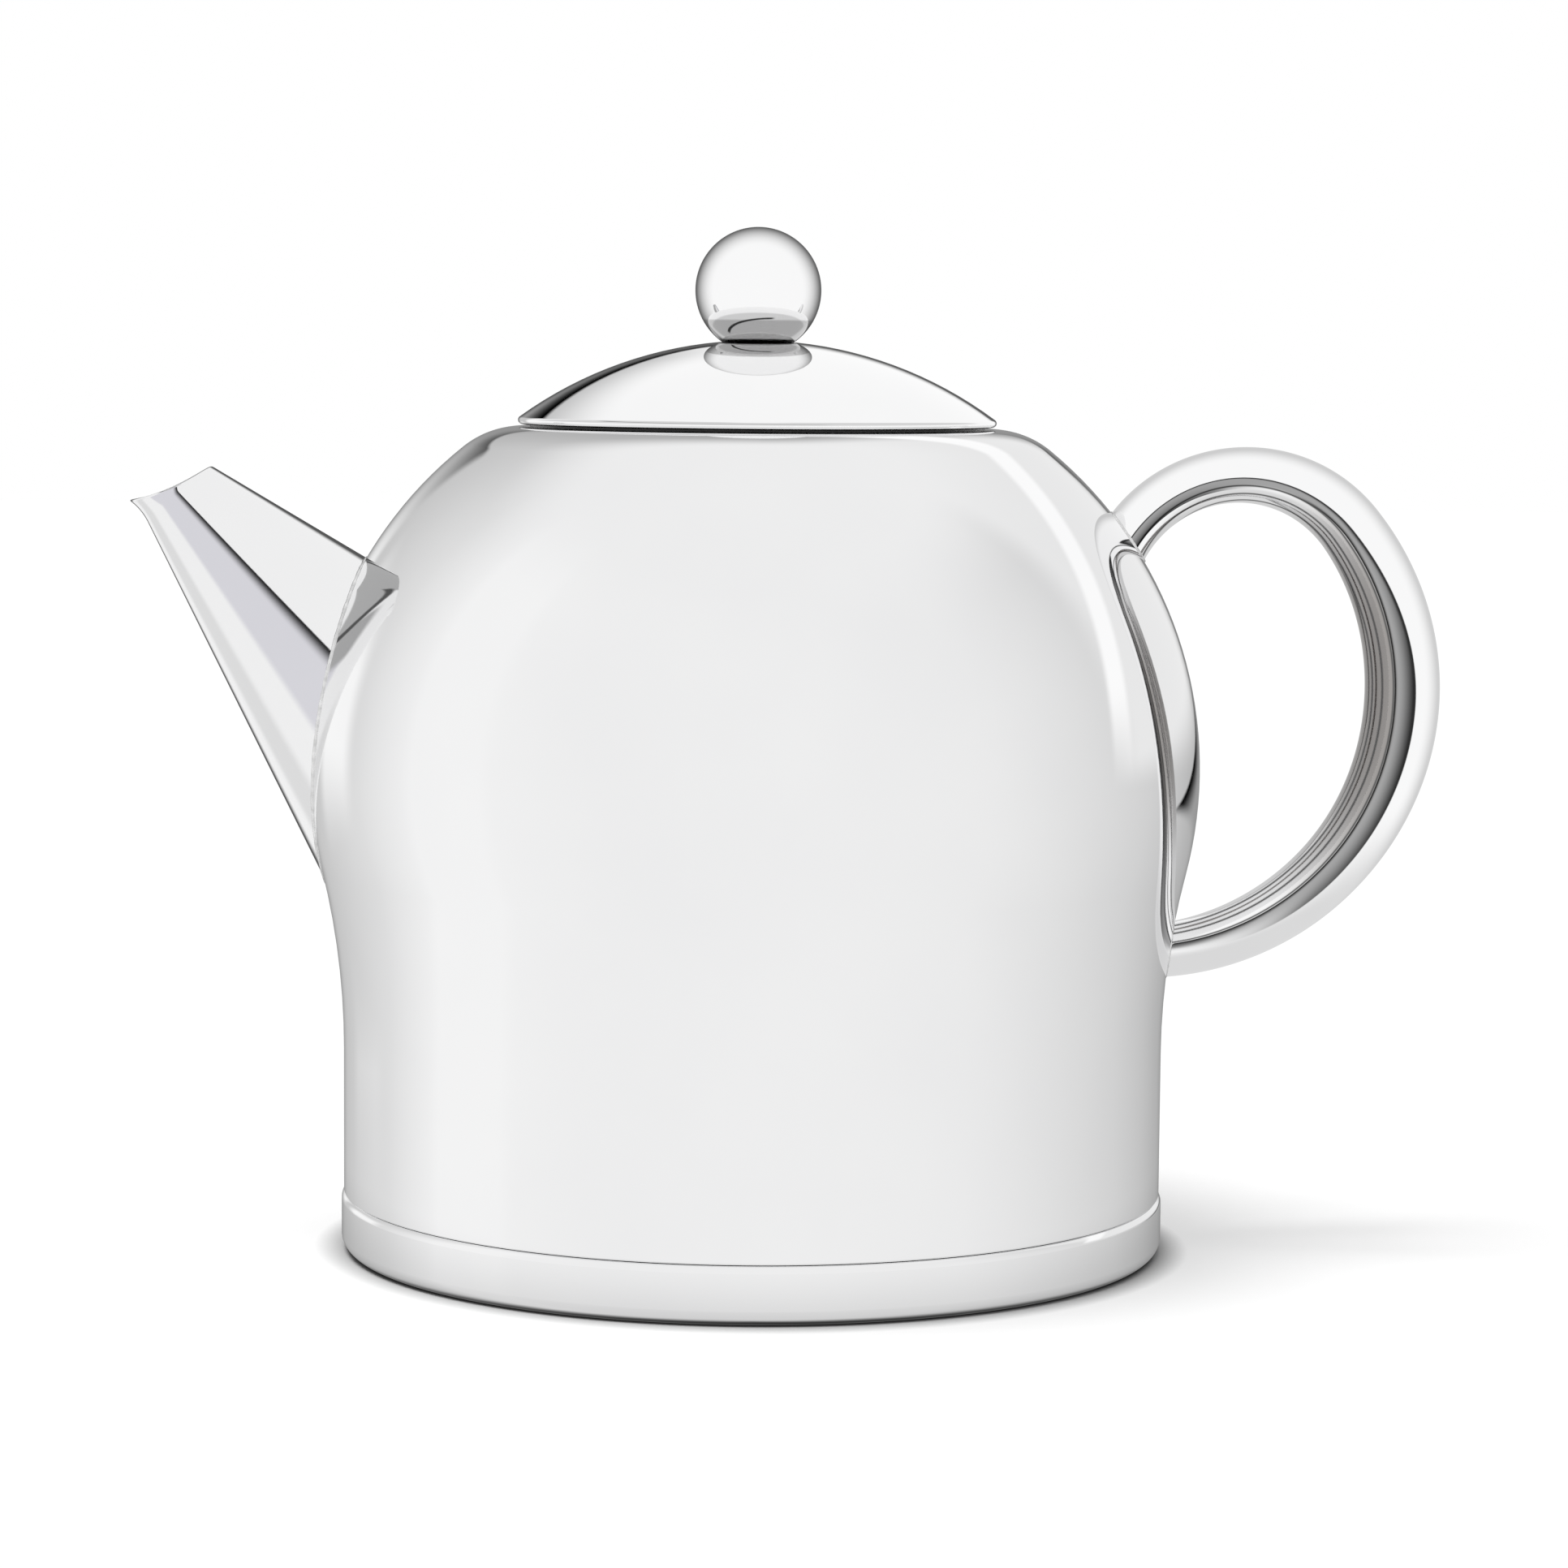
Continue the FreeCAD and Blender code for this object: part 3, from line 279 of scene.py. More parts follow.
def skin(grid, side=1):
    """A strip whose rows ring a line, facing away from it, or towards it where side is -1."""
    along = np.gradient(grid, axis=0)
    across = np.roll(grid, -1, 1) - np.roll(grid, 1, 1)
    normals = unit(np.cross(along, across))
    spokes = grid - grid.mean(1, keepdims=True)
    return grid, normals * side * np.sign((normals * spokes).sum())


def end_ring(start, end, ahead):
    """A flat strip between two rows, facing ahead."""
    normals = unit(ahead)
    return np.stack([start, end]), np.stack([normals, normals])


def bisect(inside, low, high):
    """Where a test that holds at low and not at high changes, for arrays of both."""
    for _ in range(BISECTIONS):
        middle = (low + high) / 2
        holds = inside(middle)
        low = np.where(holds, middle, low)
        high = np.where(holds, high, middle)
    return (low + high) / 2


# Outer wall

SHOULDER_CENTRE = np.array([MOUTH_RADIUS + SHOULDER_FLAT, SHOULDER_HEIGHT - SHOULDER_ROUND])


def dome_circle():
    """Centre and radius of the arc from the widest point up to the shoulder's rounding."""
    inward = BELLY_RADIUS - SHOULDER_CENTRE[0]
    upward = SHOULDER_CENTRE[1] - BELLY_HEIGHT
    radius = (inward ** 2 + upward ** 2 - SHOULDER_ROUND ** 2) / (2 * (inward - SHOULDER_ROUND))
    return np.array([BELLY_RADIUS - radius, BELLY_HEIGHT]), radius


DOME_CENTRE, DOME_RADIUS = dome_circle()
WAIST_OUT = WALL_RADIUS + WAIST_ROUND
WAIST_DROP = math.sqrt((WAIST_ROUND + DOME_RADIUS) ** 2 - (WAIST_OUT - DOME_CENTRE[0]) ** 2)
WAIST_CENTRE = np.array([WAIST_OUT, BELLY_HEIGHT - WAIST_DROP])
DOME_START = DOME_CENTRE + (WAIST_CENTRE - DOME_CENTRE) * DOME_RADIUS / (DOME_RADIUS + WAIST_ROUND)
DOME_END = DOME_CENTRE + (SHOULDER_CENTRE - DOME_CENTRE) * DOME_RADIUS / (DOME_RADIUS - SHOULDER_ROUND)


def wall_at(height):
    """Outside radius of the outer wall at a height below the shoulder's rounding."""
    waist_up = np.clip(height - WAIST_CENTRE[1], 0, None)
    waist = WAIST_CENTRE[0] - np.sqrt(np.clip(WAIST_ROUND ** 2 - waist_up ** 2, 0, None))
    dome = DOME_CENTRE[0] + np.sqrt(np.clip(DOME_RADIUS ** 2 - (height - BELLY_HEIGHT) ** 2, 0, None))
    return np.where(height < DOME_START[1], waist, dome)


def in_wall(place):
    """Whether places lie within the outer wall's outside face."""
    return np.hypot(place[..., 0], place[..., 1]) < wall_at(place[..., 2])


def outer_shell():
    """Drawn wall: straight, waisted, then a belly and a dome up to the flat shoulder."""
    outline = Outline(WALL_RADIUS, BAND_HEIGHT)
    outline.line(WALL_RADIUS, WAIST_CENTRE[1])
    outline.arc(DOME_START, WAIST_CENTRE, -1)
    outline.arc(DOME_END, DOME_CENTRE, 1)
    outline.arc((SHOULDER_CENTRE[0], SHOULDER_HEIGHT), SHOULDER_CENTRE, 1)
    outline.line(MOUTH_RADIUS, SHOULDER_HEIGHT)
    piece = turned("shell_skin", sheet(outline, SHEET), "pot", "outer_shell")
    pierce(piece.data)
    return piece


def pierce(mesh):
    """Cut the hole that feeds the spout through both skins, and join them round it."""
    wall = bmesh.new()
    wall.from_mesh(mesh)
    gone = [face for face in wall.faces if from_spout_axis(face.calc_center_median()).length < THROAT_BORE]
    bmesh.ops.delete(wall, geom=gone, context="FACES")
    rim = [edge for edge in wall.edges if edge.is_boundary]
    for corner in {corner for edge in rim for corner in edge.verts}:
        offset = from_spout_axis(corner.co)
        corner.co += offset.normalized() * THROAT_BORE - offset
    bmesh.ops.bridge_loops(wall, edges=rim)
    wall.to_mesh(mesh)
    wall.free()


def from_spout_axis(place):
    """The shortest way to a place from the spout's axis, on the spout's side of the vessel."""
    offset = place - Vector(SPOUT_POINT)
    return offset - Vector(SPOUT_AXIS) * max(0, min(offset.dot(Vector(SPOUT_AXIS)), SPOUT_FOOT))


# Foot

def bend_run(first, second, height):
    """Length of two opposite bends that together step a sheet by a height."""
    return math.sqrt((first + second) ** 2 - (first + second - height) ** 2)


def base_cup():
    """Pressed foot: a recessed disc, the ring that it stands on, the band and its lip."""
    ring_start = BAND_RADIUS - FOOT_RING
    run = bend_run(FOOT_BEND, FOOT_BEND, FOOT_RECESS)
    disc_edge = ring_start - run
    lip = WALL_RADIUS - SHEET - WELD_GAP
    band_top = BAND_HEIGHT - bend_run(BAND_ROUND, BAND_CREASE, BAND_RADIUS - lip)
    round_centre = np.array([BAND_RADIUS - BAND_ROUND, band_top])
    crease_centre = np.array([lip + BAND_CREASE, BAND_HEIGHT])
    crease_start = round_centre + (crease_centre - round_centre) * BAND_ROUND / (BAND_ROUND + BAND_CREASE)
    outline = Outline(0, FOOT_RECESS)
    outline.line(disc_edge, FOOT_RECESS)
    outline.arc((disc_edge + run / 2, FOOT_RECESS / 2), (disc_edge, FOOT_RECESS - FOOT_BEND), -1)
    outline.arc((ring_start, 0), (ring_start, FOOT_BEND), 1)
    outline.line(BAND_RADIUS - FOOT_ROUND, 0)
    outline.arc((BAND_RADIUS, FOOT_ROUND), (BAND_RADIUS - FOOT_ROUND, FOOT_ROUND), 1)
    outline.line(BAND_RADIUS, band_top)
    outline.arc(crease_start, round_centre, 1)
    outline.arc((lip, BAND_HEIGHT), crease_centre, -1)
    outline.line(lip, BAND_HEIGHT + FOOT_LIP)
    return turned("foot_pan", sheet(outline, SHEET), "pot", "base_cup")


# Spout

SPOUT_AXIS = np.array([math.cos(SPOUT_SLOPE), 0, -math.sin(SPOUT_SLOPE)])
LIP_SIDE = np.array([-math.sin(SPOUT_SLOPE), 0, -math.cos(SPOUT_SLOPE)])
ACROSS = np.array([0, 1, 0])
SPOUT_LIP = SPOUT_MOUTH - LIP_REACH

# Places along the axis that are surely short of the scooped mouth and past it
SHORT_OF_MOUTH = SPOUT_LIP * 0.8
PAST_MOUTH = SPOUT_MOUTH * 1.3


def spout_radius(along):
    """Radius of the spout's outside, with its lip turned out, at a distance from the cone's point."""
    slope = math.tan(SPOUT_TAPER)
    flare = SPOUT_LIP + LIP_FLARE
    out = LIP_TURN - LIP_FLARE * slope
    sweep = (out ** 2 + LIP_FLARE ** 2) / (2 * LIP_TURN * math.cos(SPOUT_TAPER))
    centre_out = flare * slope + sweep * math.cos(SPOUT_TAPER)
    centre_along = flare - sweep * math.sin(SPOUT_TAPER)
    turned_out = centre_out - np.sqrt(np.clip(sweep ** 2 - (along - centre_along) ** 2, 0, None))
    return np.where(along < flare, turned_out, along * slope)


def scoop_edge(across):
    """How far along the axis the scooped mouth lies, at a distance towards the lip."""
    lip = np.array([spout_radius(SPOUT_LIP), SPOUT_LIP])
    back = np.array([-SPOUT_MOUTH * math.tan(SPOUT_TAPER), SPOUT_MOUTH])
    chord = lip - back
    depth = math.sqrt(SPOUT_SCOOP ** 2 - chord.dot(chord) / 4)
    centre = (lip + back) / 2 + unit(np.array([chord[1], -chord[0]])) * depth
    return centre[1] + np.sqrt(SPOUT_SCOOP ** 2 - (across - centre[0]) ** 2)


def on_spout(along, angles, inset):
    """Places on the spout's skin, or on one inset from it, at angles from its lip."""
    radius = spout_radius(along) - inset
    spokes = np.multiply.outer(np.cos(angles), LIP_SIDE) + np.multiply.outer(np.sin(angles), ACROSS)
    return SPOUT_POINT + np.multiply.outer(along, SPOUT_AXIS) + radius[..., None] * spokes


def spout_skin(inset):
    """Rows of places from the spout's mouth to the outer wall."""
    angles = np.arange(SPOUT_STEPS) / SPOUT_STEPS * FULL_TURN

    def beyond_mouth(along):
        return along < scoop_edge((spout_radius(along) - inset) * np.cos(angles))

    def outside_wall(along):
        return ~in_wall(on_spout(along, angles, inset))

    short = np.full(SPOUT_STEPS, SHORT_OF_MOUTH)
    past = np.full(SPOUT_STEPS, PAST_MOUTH)
    mouth = bisect(beyond_mouth, short, past)
    foot = bisect(outside_wall, mouth, np.full(SPOUT_STEPS, SPOUT_FOOT))
    shares = np.linspace(0, 1, SPOUT_ROWS)[:, None] ** SPOUT_CROWDING
    return on_spout(mouth + (foot - mouth) * shares, angles, inset)


def spout():
    """Sheet cone from its scooped mouth to the outer wall, with both its skins."""
    outer = spout_skin(0)
    inner = spout_skin(SPOUT_SHEET / math.cos(SPOUT_TAPER))
    half = (outer[0] - inner[0]) / 2
    ahead = unit(outer[0] - outer[1]) * np.linalg.norm(half, axis=1)[:, None]
    turns = np.linspace(0, math.pi, EDGE_STEPS + 1)[:, None, None]
    offsets = np.cos(turns) * half + np.sin(turns) * ahead
    rim = (outer[0] + inner[0]) / 2 + offsets, unit(offsets)
    foot = end_ring(inner[-1], outer[-1], outer[-1] - outer[-2])
    weld("spout_weld", outer[-1])
    strips = [skin(outer[::-1]), rim, skin(inner, -1), foot]
    return new_piece("spout_cone", strips, "pot", "spout")


# Handle

CROWN_RISE = HANDLE_TOP - CROWN_ROUND - GRIP_HEIGHT
GRIP_CENTRE = np.array([HANDLE_REACH - GRIP_ROUND, 0, GRIP_HEIGHT])
CROWN_SHIFT = math.sqrt((GRIP_ROUND - CROWN_ROUND) ** 2 - CROWN_RISE ** 2)
CROWN_CENTRE = GRIP_CENTRE + np.array([CROWN_SHIFT, 0, CROWN_RISE])
MEET_ANGLE = math.atan2(CROWN_RISE, CROWN_SHIFT)
CROWN_LENGTH = CROWN_ROUND * (math.pi - MEET_ANGLE)
HANDLE_LENGTH = CROWN_LENGTH + GRIP_ROUND * (MEET_ANGLE + math.pi / 2)


def handle_line(along):
    """Places on the handle's centre line, and the directions outwards from its arcs."""
    on_crown = along < CROWN_LENGTH
    crown_angle = math.pi - along / CROWN_ROUND
    grip_angle = MEET_ANGLE - (along - CROWN_LENGTH) / GRIP_ROUND
    angle = np.where(on_crown, crown_angle, grip_angle)
    out = np.stack([np.cos(angle), 0 * angle, np.sin(angle)], -1)
    radius = np.where(on_crown, CROWN_ROUND, GRIP_ROUND)[..., None]
    return np.where(on_crown[..., None], CROWN_CENTRE, GRIP_CENTRE) + radius * out, out


def handle_thickness(along):
    """Smooth thickness through the stations."""
    stations = [(CROWN_ROUND * (math.pi - a * DEGREE), t) for a, t in HANDLE_CROWN_STATIONS]
    stations += [(CROWN_LENGTH + GRIP_ROUND * (MEET_ANGLE - a * DEGREE), t) for a, t in HANDLE_GRIP_STATIONS]
    places, values = np.array(stations).T
    slopes = np.gradient(values, places)
    index = np.clip(np.searchsorted(places, along) - 1, 0, len(places) - 2)
    span = places[index + 1] - places[index]
    share = np.clip((along - places[index]) / span, 0, 1)
    ease = share ** 2 * (3 - 2 * share)
    rise = values[index] + (values[index + 1] - values[index]) * ease
    lead = slopes[index] * span * share * (1 - share) ** 2
    trail = slopes[index + 1] * span * share ** 2 * (1 - share)
    return rise + lead - trail


def on_handle(along, angles, inset=0):
    """Places on the handle's skin, or on one inset from it, at angles round its section."""
    centre, out = handle_line(along)
    radius = handle_thickness(along)[..., None] / 2 - inset
    return centre + radius * (np.cos(angles)[..., None] * out + np.sin(angles)[..., None] * ACROSS)


def handle():
    """Tapered tube along two arcs, trimmed to the outer wall at both ends."""
    angles = np.arange(HANDLE_STEPS) / HANDLE_STEPS * FULL_TURN

    def buried(along):
        return in_wall(on_handle(along, angles))

    def clear(along):
        return ~buried(along)

    middle = np.full(HANDLE_STEPS, HANDLE_LENGTH / 2)
    upper = bisect(buried, np.zeros(HANDLE_STEPS), middle)
    lower = bisect(clear, middle, np.full(HANDLE_STEPS, HANDLE_LENGTH))
    along = upper + (lower - upper) * np.linspace(0, 1, HANDLE_ROWS)[:, None]
    outside = on_handle(along, angles)
    bore = on_handle(along, angles, HANDLE_SHEET)
    weld("handle_weld_upper", outside[0])
    weld("handle_weld_lower", outside[-1])
    foot = end_ring(outside[-1], bore[-1], outside[-1] - outside[-2])
    top = end_ring(bore[0], outside[0], outside[0] - outside[1])
    strips = [skin(outside), foot, skin(bore[::-1], -1), top]
    return new_piece("handle_tube", strips, "pot", "handle")


# Welds

WELDS = []

# Height, count round the seam and start of each wave in a bead
WELD_WAVES = ((0.08, 23, 0), (0.06, 41, 1), (0.05, 67, 2))


def weld(name, line):
    """Slim bead along the line where a piece meets the outer wall, uneven as a hand weld is."""
    ahead = unit(np.roll(line, -1, 0) - np.roll(line, 1, 0))
    out = line * np.array([1, 1, 0])
    out = unit(out - ahead * (out * ahead).sum(1)[:, None])
    side = np.cross(ahead, out)
    steps = np.arange(len(line)) / len(line) * FULL_TURN
    swell = np.ones(len(line))
    for height, count, start in WELD_WAVES:
        swell = swell + height * np.sin(count * steps + start)
    turns = np.linspace(0, FULL_TURN, WELD_SIDES + 1)[:, None, None]
    spokes = np.cos(turns) * out + np.sin(turns) * side
    bead = line + spokes * (WELD_RADIUS * swell)[:, None]
    WELDS.append(new_piece(name, [(bead, spokes)], "pot"))


# Lid and knob

def lid_cover():
    """Domed lid with a flat for the knob, a rolled rim and a hem."""
    pad = np.array([KNOB_FOOT + KNOB_PAD, LID_CROWN - LID_RIM])
    rim = np.array([LID_RADIUS - LID_RIM, LID_SEAT + LID_RIM])
    centre = np.array([0, (pad.dot(pad) - rim.dot(rim)) / (2 * (pad[1] - rim[1]))])
    reach = np.linalg.norm(pad - centre)
    share = (reach + LID_RIM) / reach
    outline = Outline(SCREW_HOLE, LID_CROWN)
    outline.line(pad[0], LID_CROWN)
    outline.arc(centre + (pad - centre) * share, pad, -1)
    outline.arc(centre + (rim - centre) * share, centre, -1)
    outline.arc((rim[0], LID_SEAT), rim, -1)
    outline.line(LID_HEM, LID_SEAT)
    return turned("lid_dome", sheet(outline, SHEET, side=-1), "lid", "lid_cover")


def knob_ball():
    """Hollow ball with a flat foot and a hole for its screw."""
    centre = LID_CROWN + math.sqrt(KNOB_RADIUS ** 2 - KNOB_FOOT ** 2)
    hollow = KNOB_RADIUS - KNOB_WALL
    floor = LID_CROWN + KNOB_WALL
    floor_edge = math.sqrt(hollow ** 2 - (centre - floor) ** 2)
    outline = Outline(0, centre + KNOB_RADIUS)
    outline.arc((KNOB_FOOT, LID_CROWN), (0, centre), -1)
    outline.line(SCREW_HOLE, LID_CROWN)
    outline.line(SCREW_HOLE, floor)
    outline.line(floor_edge, floor)
    outline.arc((0, centre + hollow), (0, centre), 1)
    section = [(points, -normals) for points, normals in outline.stretches]
    return turned("knob_sphere", section, "lid", "knob_ball")


# Nodes

def node(tree, kind, inputs=None, **settings):
    """A node with its settings and inputs, which are sockets or values."""
    made = tree.nodes.new(kind)
    for name, value in settings.items():
        setattr(made, name, value)
    for name, value in (inputs or {}).items():
        if isinstance(value, bpy.types.NodeSocket):
            tree.links.new(value, made.inputs[name])
        else:
            made.inputs[name].default_value = value
    return made


def math_node(tree, operation, first, second=0.0):
    """The outcome of one sum."""
    return node(tree, "ShaderNodeMath", {0: first, 1: second}, operation=operation).outputs[0]


def grey(tone):
    """A colour as nodes take it, from one brightness or three."""
    return (tone, tone, tone, 1) if isinstance(tone, (int, float)) else (*tone, 1)


def blend(tree, share, below, above):
    """One colour laid over another by a share."""
    inputs = {"Factor": share, "A": below, "B": above}
    return node(tree, "ShaderNodeMix", inputs, data_type="RGBA").outputs["Result"]


def new_tree(name):
    """An empty material and its node tree."""
    material = bpy.data.materials.new(name)
    material.use_nodes = True
    material.node_tree.nodes.clear()
    return material, material.node_tree


def show(tree, shader):
    """Make a shader the surface of its material."""
    out = node(tree, "ShaderNodeOutputMaterial")
    tree.links.new(shader.outputs[0], out.inputs["Surface"])


# Finishes

# The range that a noise value mostly keeps to
NOISE_LOW = 0.3
NOISE_HIGH = 0.7

CLOUD_DETAIL = 4.0


def around(tree):
    """The distance from the axis, the height and the angle round the axis of a place."""
    place = node(tree, "ShaderNodeTexCoord").outputs["Object"]
    x, y, z = node(tree, "ShaderNodeSeparateXYZ", {0: place}).outputs
    flat = node(tree, "ShaderNodeCombineXYZ", {0: x, 1: y}).outputs[0]
    distance = node(tree, "ShaderNodeVectorMath", {0: flat}, operation="LENGTH").outputs["Value"]
    return distance, z, math_node(tree, "ARCTAN2", y, x)


def spun(tree, fineness):
    """A place by its distance from the axis and its height, drawn out round the axis, for spun marks."""
    distance, height, angle = around(tree)
    return node(tree, "ShaderNodeCombineXYZ", {
        0: math_node(tree, "MULTIPLY", distance, fineness),
        1: math_node(tree, "MULTIPLY", height, fineness),
        2: angle,
    }).outputs[0]


def noise(tree, place, scale, detail):
    """A noise value."""
    return node(tree, "ShaderNodeTexNoise", {"Vector": place, "Scale": scale, "Detail": detail}).outputs[0]


def spread(tree, value, low, high):
    """A noise value spread over a range."""
    return node(tree, "ShaderNodeMapRange", {
        "Value": value, "From Min": NOISE_LOW, "From Max": NOISE_HIGH, "To Min": low, "To Max": high,
    }).outputs[0]


def ease(tree, value, start, end):
    """A share that goes smoothly from 0 to 1 as a value goes from start to end."""
    return node(tree, "ShaderNodeMapRange", {
        "Value": value, "From Min": start, "From Max": end,
    }, interpolation_type="SMOOTHSTEP").outputs[0]


def steel(name, tints, clouds, roughness, marks, bump, painted_shade=None):
    """Steel whose tint drifts between two tones. The drift and the marks give its roughness.

    Clouds are the scale of the drift, marks a function from the tree to a noise value, and bump the
    strength and the depth of the marks. The last argument, where given, is a function that darkens a
    tint with painted shade and painted reflections, and grime in the seams.
    """
    material, tree = new_tree(name)
    place = node(tree, "ShaderNodeTexCoord").outputs["Object"]
    cloud = noise(tree, place, clouds, CLOUD_DETAIL)
    grain = marks(tree)
    mean = math_node(tree, "MULTIPLY", math_node(tree, "ADD", cloud, grain), 0.5)
    strength, depth = bump
    relief = node(tree, "ShaderNodeBump", {"Height": grain, "Strength": strength, "Distance": depth})
    tint = blend(tree, spread(tree, cloud, 0, 1), *(grey(tint) for tint in tints))
    show(tree, node(tree, "ShaderNodeBsdfPrincipled", {
        "Base Color": painted_shade(tree, tint) if painted_shade else tint,
        "Metallic": 1,
        "Roughness": spread(tree, mean, *roughness),
        "Normal": relief.outputs[0],
    }))
    return material


# Tones of painted shade and grime in the seams, of the knob's underside as a painted reflection, and of
# painted reflections on the grip's inner side and its lines
SEAM_SHADE_AND_GRIME = 0.04
KNOB_REFLECTION_TONE = 0.55
GRIP_REFLECTION_TONE = (0.33, 0.315, 0.305)
LINE_REFLECTION_TONE = 0.1

SEAM = 0.5 * MM
KNOB_UNDERSIDE = 4 * MM


def shade_below(tree, tint, height, soft, tone):
    """Darken a tint below a height, painting in shade and dark reflections."""
    return blend(tree, ease(tree, around(tree)[1], height + soft, height), tint, grey(tone))


def seat_shade_and_grime(tree, tint):
    """Painted shade and grime on the seat under the lid's rim."""
    distance, height, _ = around(tree)
    under_lid = ease(tree, distance, LID_RADIUS, LID_RADIUS - SEAM)
    on_top = ease(tree, height, SHOULDER_HEIGHT - SEAM, SHOULDER_HEIGHT - SEAM / 2)
    return blend(tree, math_node(tree, "MULTIPLY", under_lid, on_top), tint, grey(SEAM_SHADE_AND_GRIME))


def foot_shadow_and_grime(tree, tint):
    """Painted contact shadow and grime along the edge where the foot stands."""
    return shade_below(tree, tint, SEAM, 2 * SEAM, SEAM_SHADE_AND_GRIME)


def rim_shade_and_grime(tree, tint):
    """Painted shade and grime under the rolled rim."""
    return shade_below(tree, tint, LID_SEAT + SEAM / 4, SEAM / 4, SEAM_SHADE_AND_GRIME)


def collar_shade_and_grime(tree, tint):
    """Painted shade and grime on the rim of the basket's flange, which shows in the gap under the lid."""
    on_rim = ease(tree, around(tree)[0], FLANGE_RADIUS - SEAM, FLANGE_RADIUS - SEAM / 2)
    return blend(tree, on_rim, tint, grey(SEAM_SHADE_AND_GRIME))


def knob_reflection_and_seam_shade(tree, tint):
    """A darker underside as a painted reflection, and painted shade and grime in the seam with the lid."""
    tint = shade_below(tree, tint, LID_CROWN + KNOB_UNDERSIDE, SEAM, KNOB_REFLECTION_TONE)
    return shade_below(tree, tint, LID_CROWN + SEAM / 2, SEAM, SEAM_SHADE_AND_GRIME)


LOOP_CENTRE = Vector((85, 0, 110)) * MM

# How far out the painted darker reflection on the grip starts and is full
GRIP_START = 98 * MM
GRIP_FULL = 122 * MM

# How squarely places face the middle of the loop where the painted darker reflection on the inner side starts
# and is full, and on the painted dark lines along it, which also have a width
INNER_START = 0.2
INNER_FULL = 0.38
LOOP_REFLECTION_LINES = ((0.35, 0.05), (0.63, 0.05), (0.86, 0.04))


def handle_painted_reflections(tree, tint):
    """Painted reflections: a darker inner side of the grip, with dark lines along the inside of the loop."""
    coordinates = node(tree, "ShaderNodeTexCoord").outputs
    place = coordinates["Object"]
    offset = node(tree, "ShaderNodeVectorMath", {0: LOOP_CENTRE, 1: place}, operation="SUBTRACT")
    flat = node(tree, "ShaderNodeVectorMath", {0: offset.outputs[0], 1: (1, 0, 1)}, operation="MULTIPLY")
    inward = node(tree, "ShaderNodeVectorMath", {0: flat.outputs[0]}, operation="NORMALIZE")
    facing = node(tree, "ShaderNodeVectorMath", {
        0: inward.outputs[0], 1: coordinates["Normal"],
    }, operation="DOT_PRODUCT").outputs["Value"]
    out = node(tree, "ShaderNodeSeparateXYZ", {0: place}).outputs[0]
    on_grip = ease(tree, out, GRIP_START, GRIP_FULL)
    reflection_share = math_node(tree, "MULTIPLY", on_grip, ease(tree, facing, INNER_START, INNER_FULL))
    # Painted darker reflection on the grip's inner side, then painted dark lines along the loop
    tint = blend(tree, reflection_share, tint, grey(GRIP_REFLECTION_TONE))
    for line, width in LOOP_REFLECTION_LINES:
        off_line = math_node(tree, "ABSOLUTE", math_node(tree, "SUBTRACT", facing, line))
        tint = blend(tree, ease(tree, off_line, width, 0), tint, grey(LINE_REFLECTION_TONE))
    return tint


def polished_steel(name, painted_shade=None):
    """Mirror polish with a trace of buffing marks and handling haze."""
    def buffing(tree):
        return noise(tree, spun(tree, fineness=2400.0), scale=1.0, detail=3.0)
    return steel(
        name, tints=((0.875, 0.875, 0.88), (0.895, 0.895, 0.897)), clouds=28.0, roughness=(0.02, 0.05),
        marks=buffing, bump=(0.02, 0.02 * MM), painted_shade=painted_shade)


def satin_steel(name, painted_shade=None):
    """Drawn steel with a fine spun grain."""
    def grain(tree):
        return noise(tree, spun(tree, fineness=6000.0), scale=1.0, detail=4.0)
    return steel(
        name, tints=((0.70, 0.70, 0.705), (0.76, 0.76, 0.762)), clouds=40.0, roughness=(0.2, 0.34),
        marks=grain, bump=(0.15, 0.05 * MM), painted_shade=painted_shade)


def plain_steel():
    """Turned steel of the knob's fastening."""
    def grooves(tree):
        return noise(tree, spun(tree, fineness=9000.0), scale=1.0, detail=2.0)
    return steel(
        "plain_steel", tints=(0.58, 0.64), clouds=120.0, roughness=(0.25, 0.4),
        marks=grooves, bump=(0.3, 0.05 * MM))


def weld_steel():
    """Weld bead, duller and slightly pitted."""
    def pits(tree):
        return noise(tree, node(tree, "ShaderNodeTexCoord").outputs["Object"], scale=900.0, detail=3.0)
    return steel(
        "weld_steel", tints=(0.6, 0.82), clouds=700.0, roughness=(0.12, 0.35),
        marks=pits, bump=(0.4, 0.1 * MM))


FASTENING = ("knob_insert", "knob_washer", "knob_screw")


def coat(piece, material):
    """Give a piece one finish all over."""
    piece.data.materials.clear()
    piece.data.materials.append(material)


def dress():
    """Build the seen pieces, give every piece its finish and return the seen pieces."""
    # Each piece's function paints shade, dark reflections and grime into its tint, or is None
    makers = {
        outer_shell: seat_shade_and_grime, base_cup: foot_shadow_and_grime, spout: None,
        handle: handle_painted_reflections, lid_cover: rim_shade_and_grime, knob_ball: knob_reflection_and_seam_shade}
    pieces = {}
    for maker, painted_shade in makers.items():
        name = maker.__name__
        pieces[name] = maker()
        coat(pieces[name], polished_steel(f"{name}_polish", painted_shade))
    welded = weld_steel()
    for piece in WELDS:
        coat(piece, welded)
    finishes = dict.fromkeys(FASTENING, plain_steel())
    # The collar's rim gets painted shade and grime where it shows under the lid
    finishes["infuser_collar"] = satin_steel("collar_satin", collar_shade_and_grime)
    satin = satin_steel("satin_steel")
    for name, cad_node in frame["nodes"].items():
        if not cad_node.hide_render:
            coat(cad_node, finishes.get(name, satin))
    return pieces


# Studio

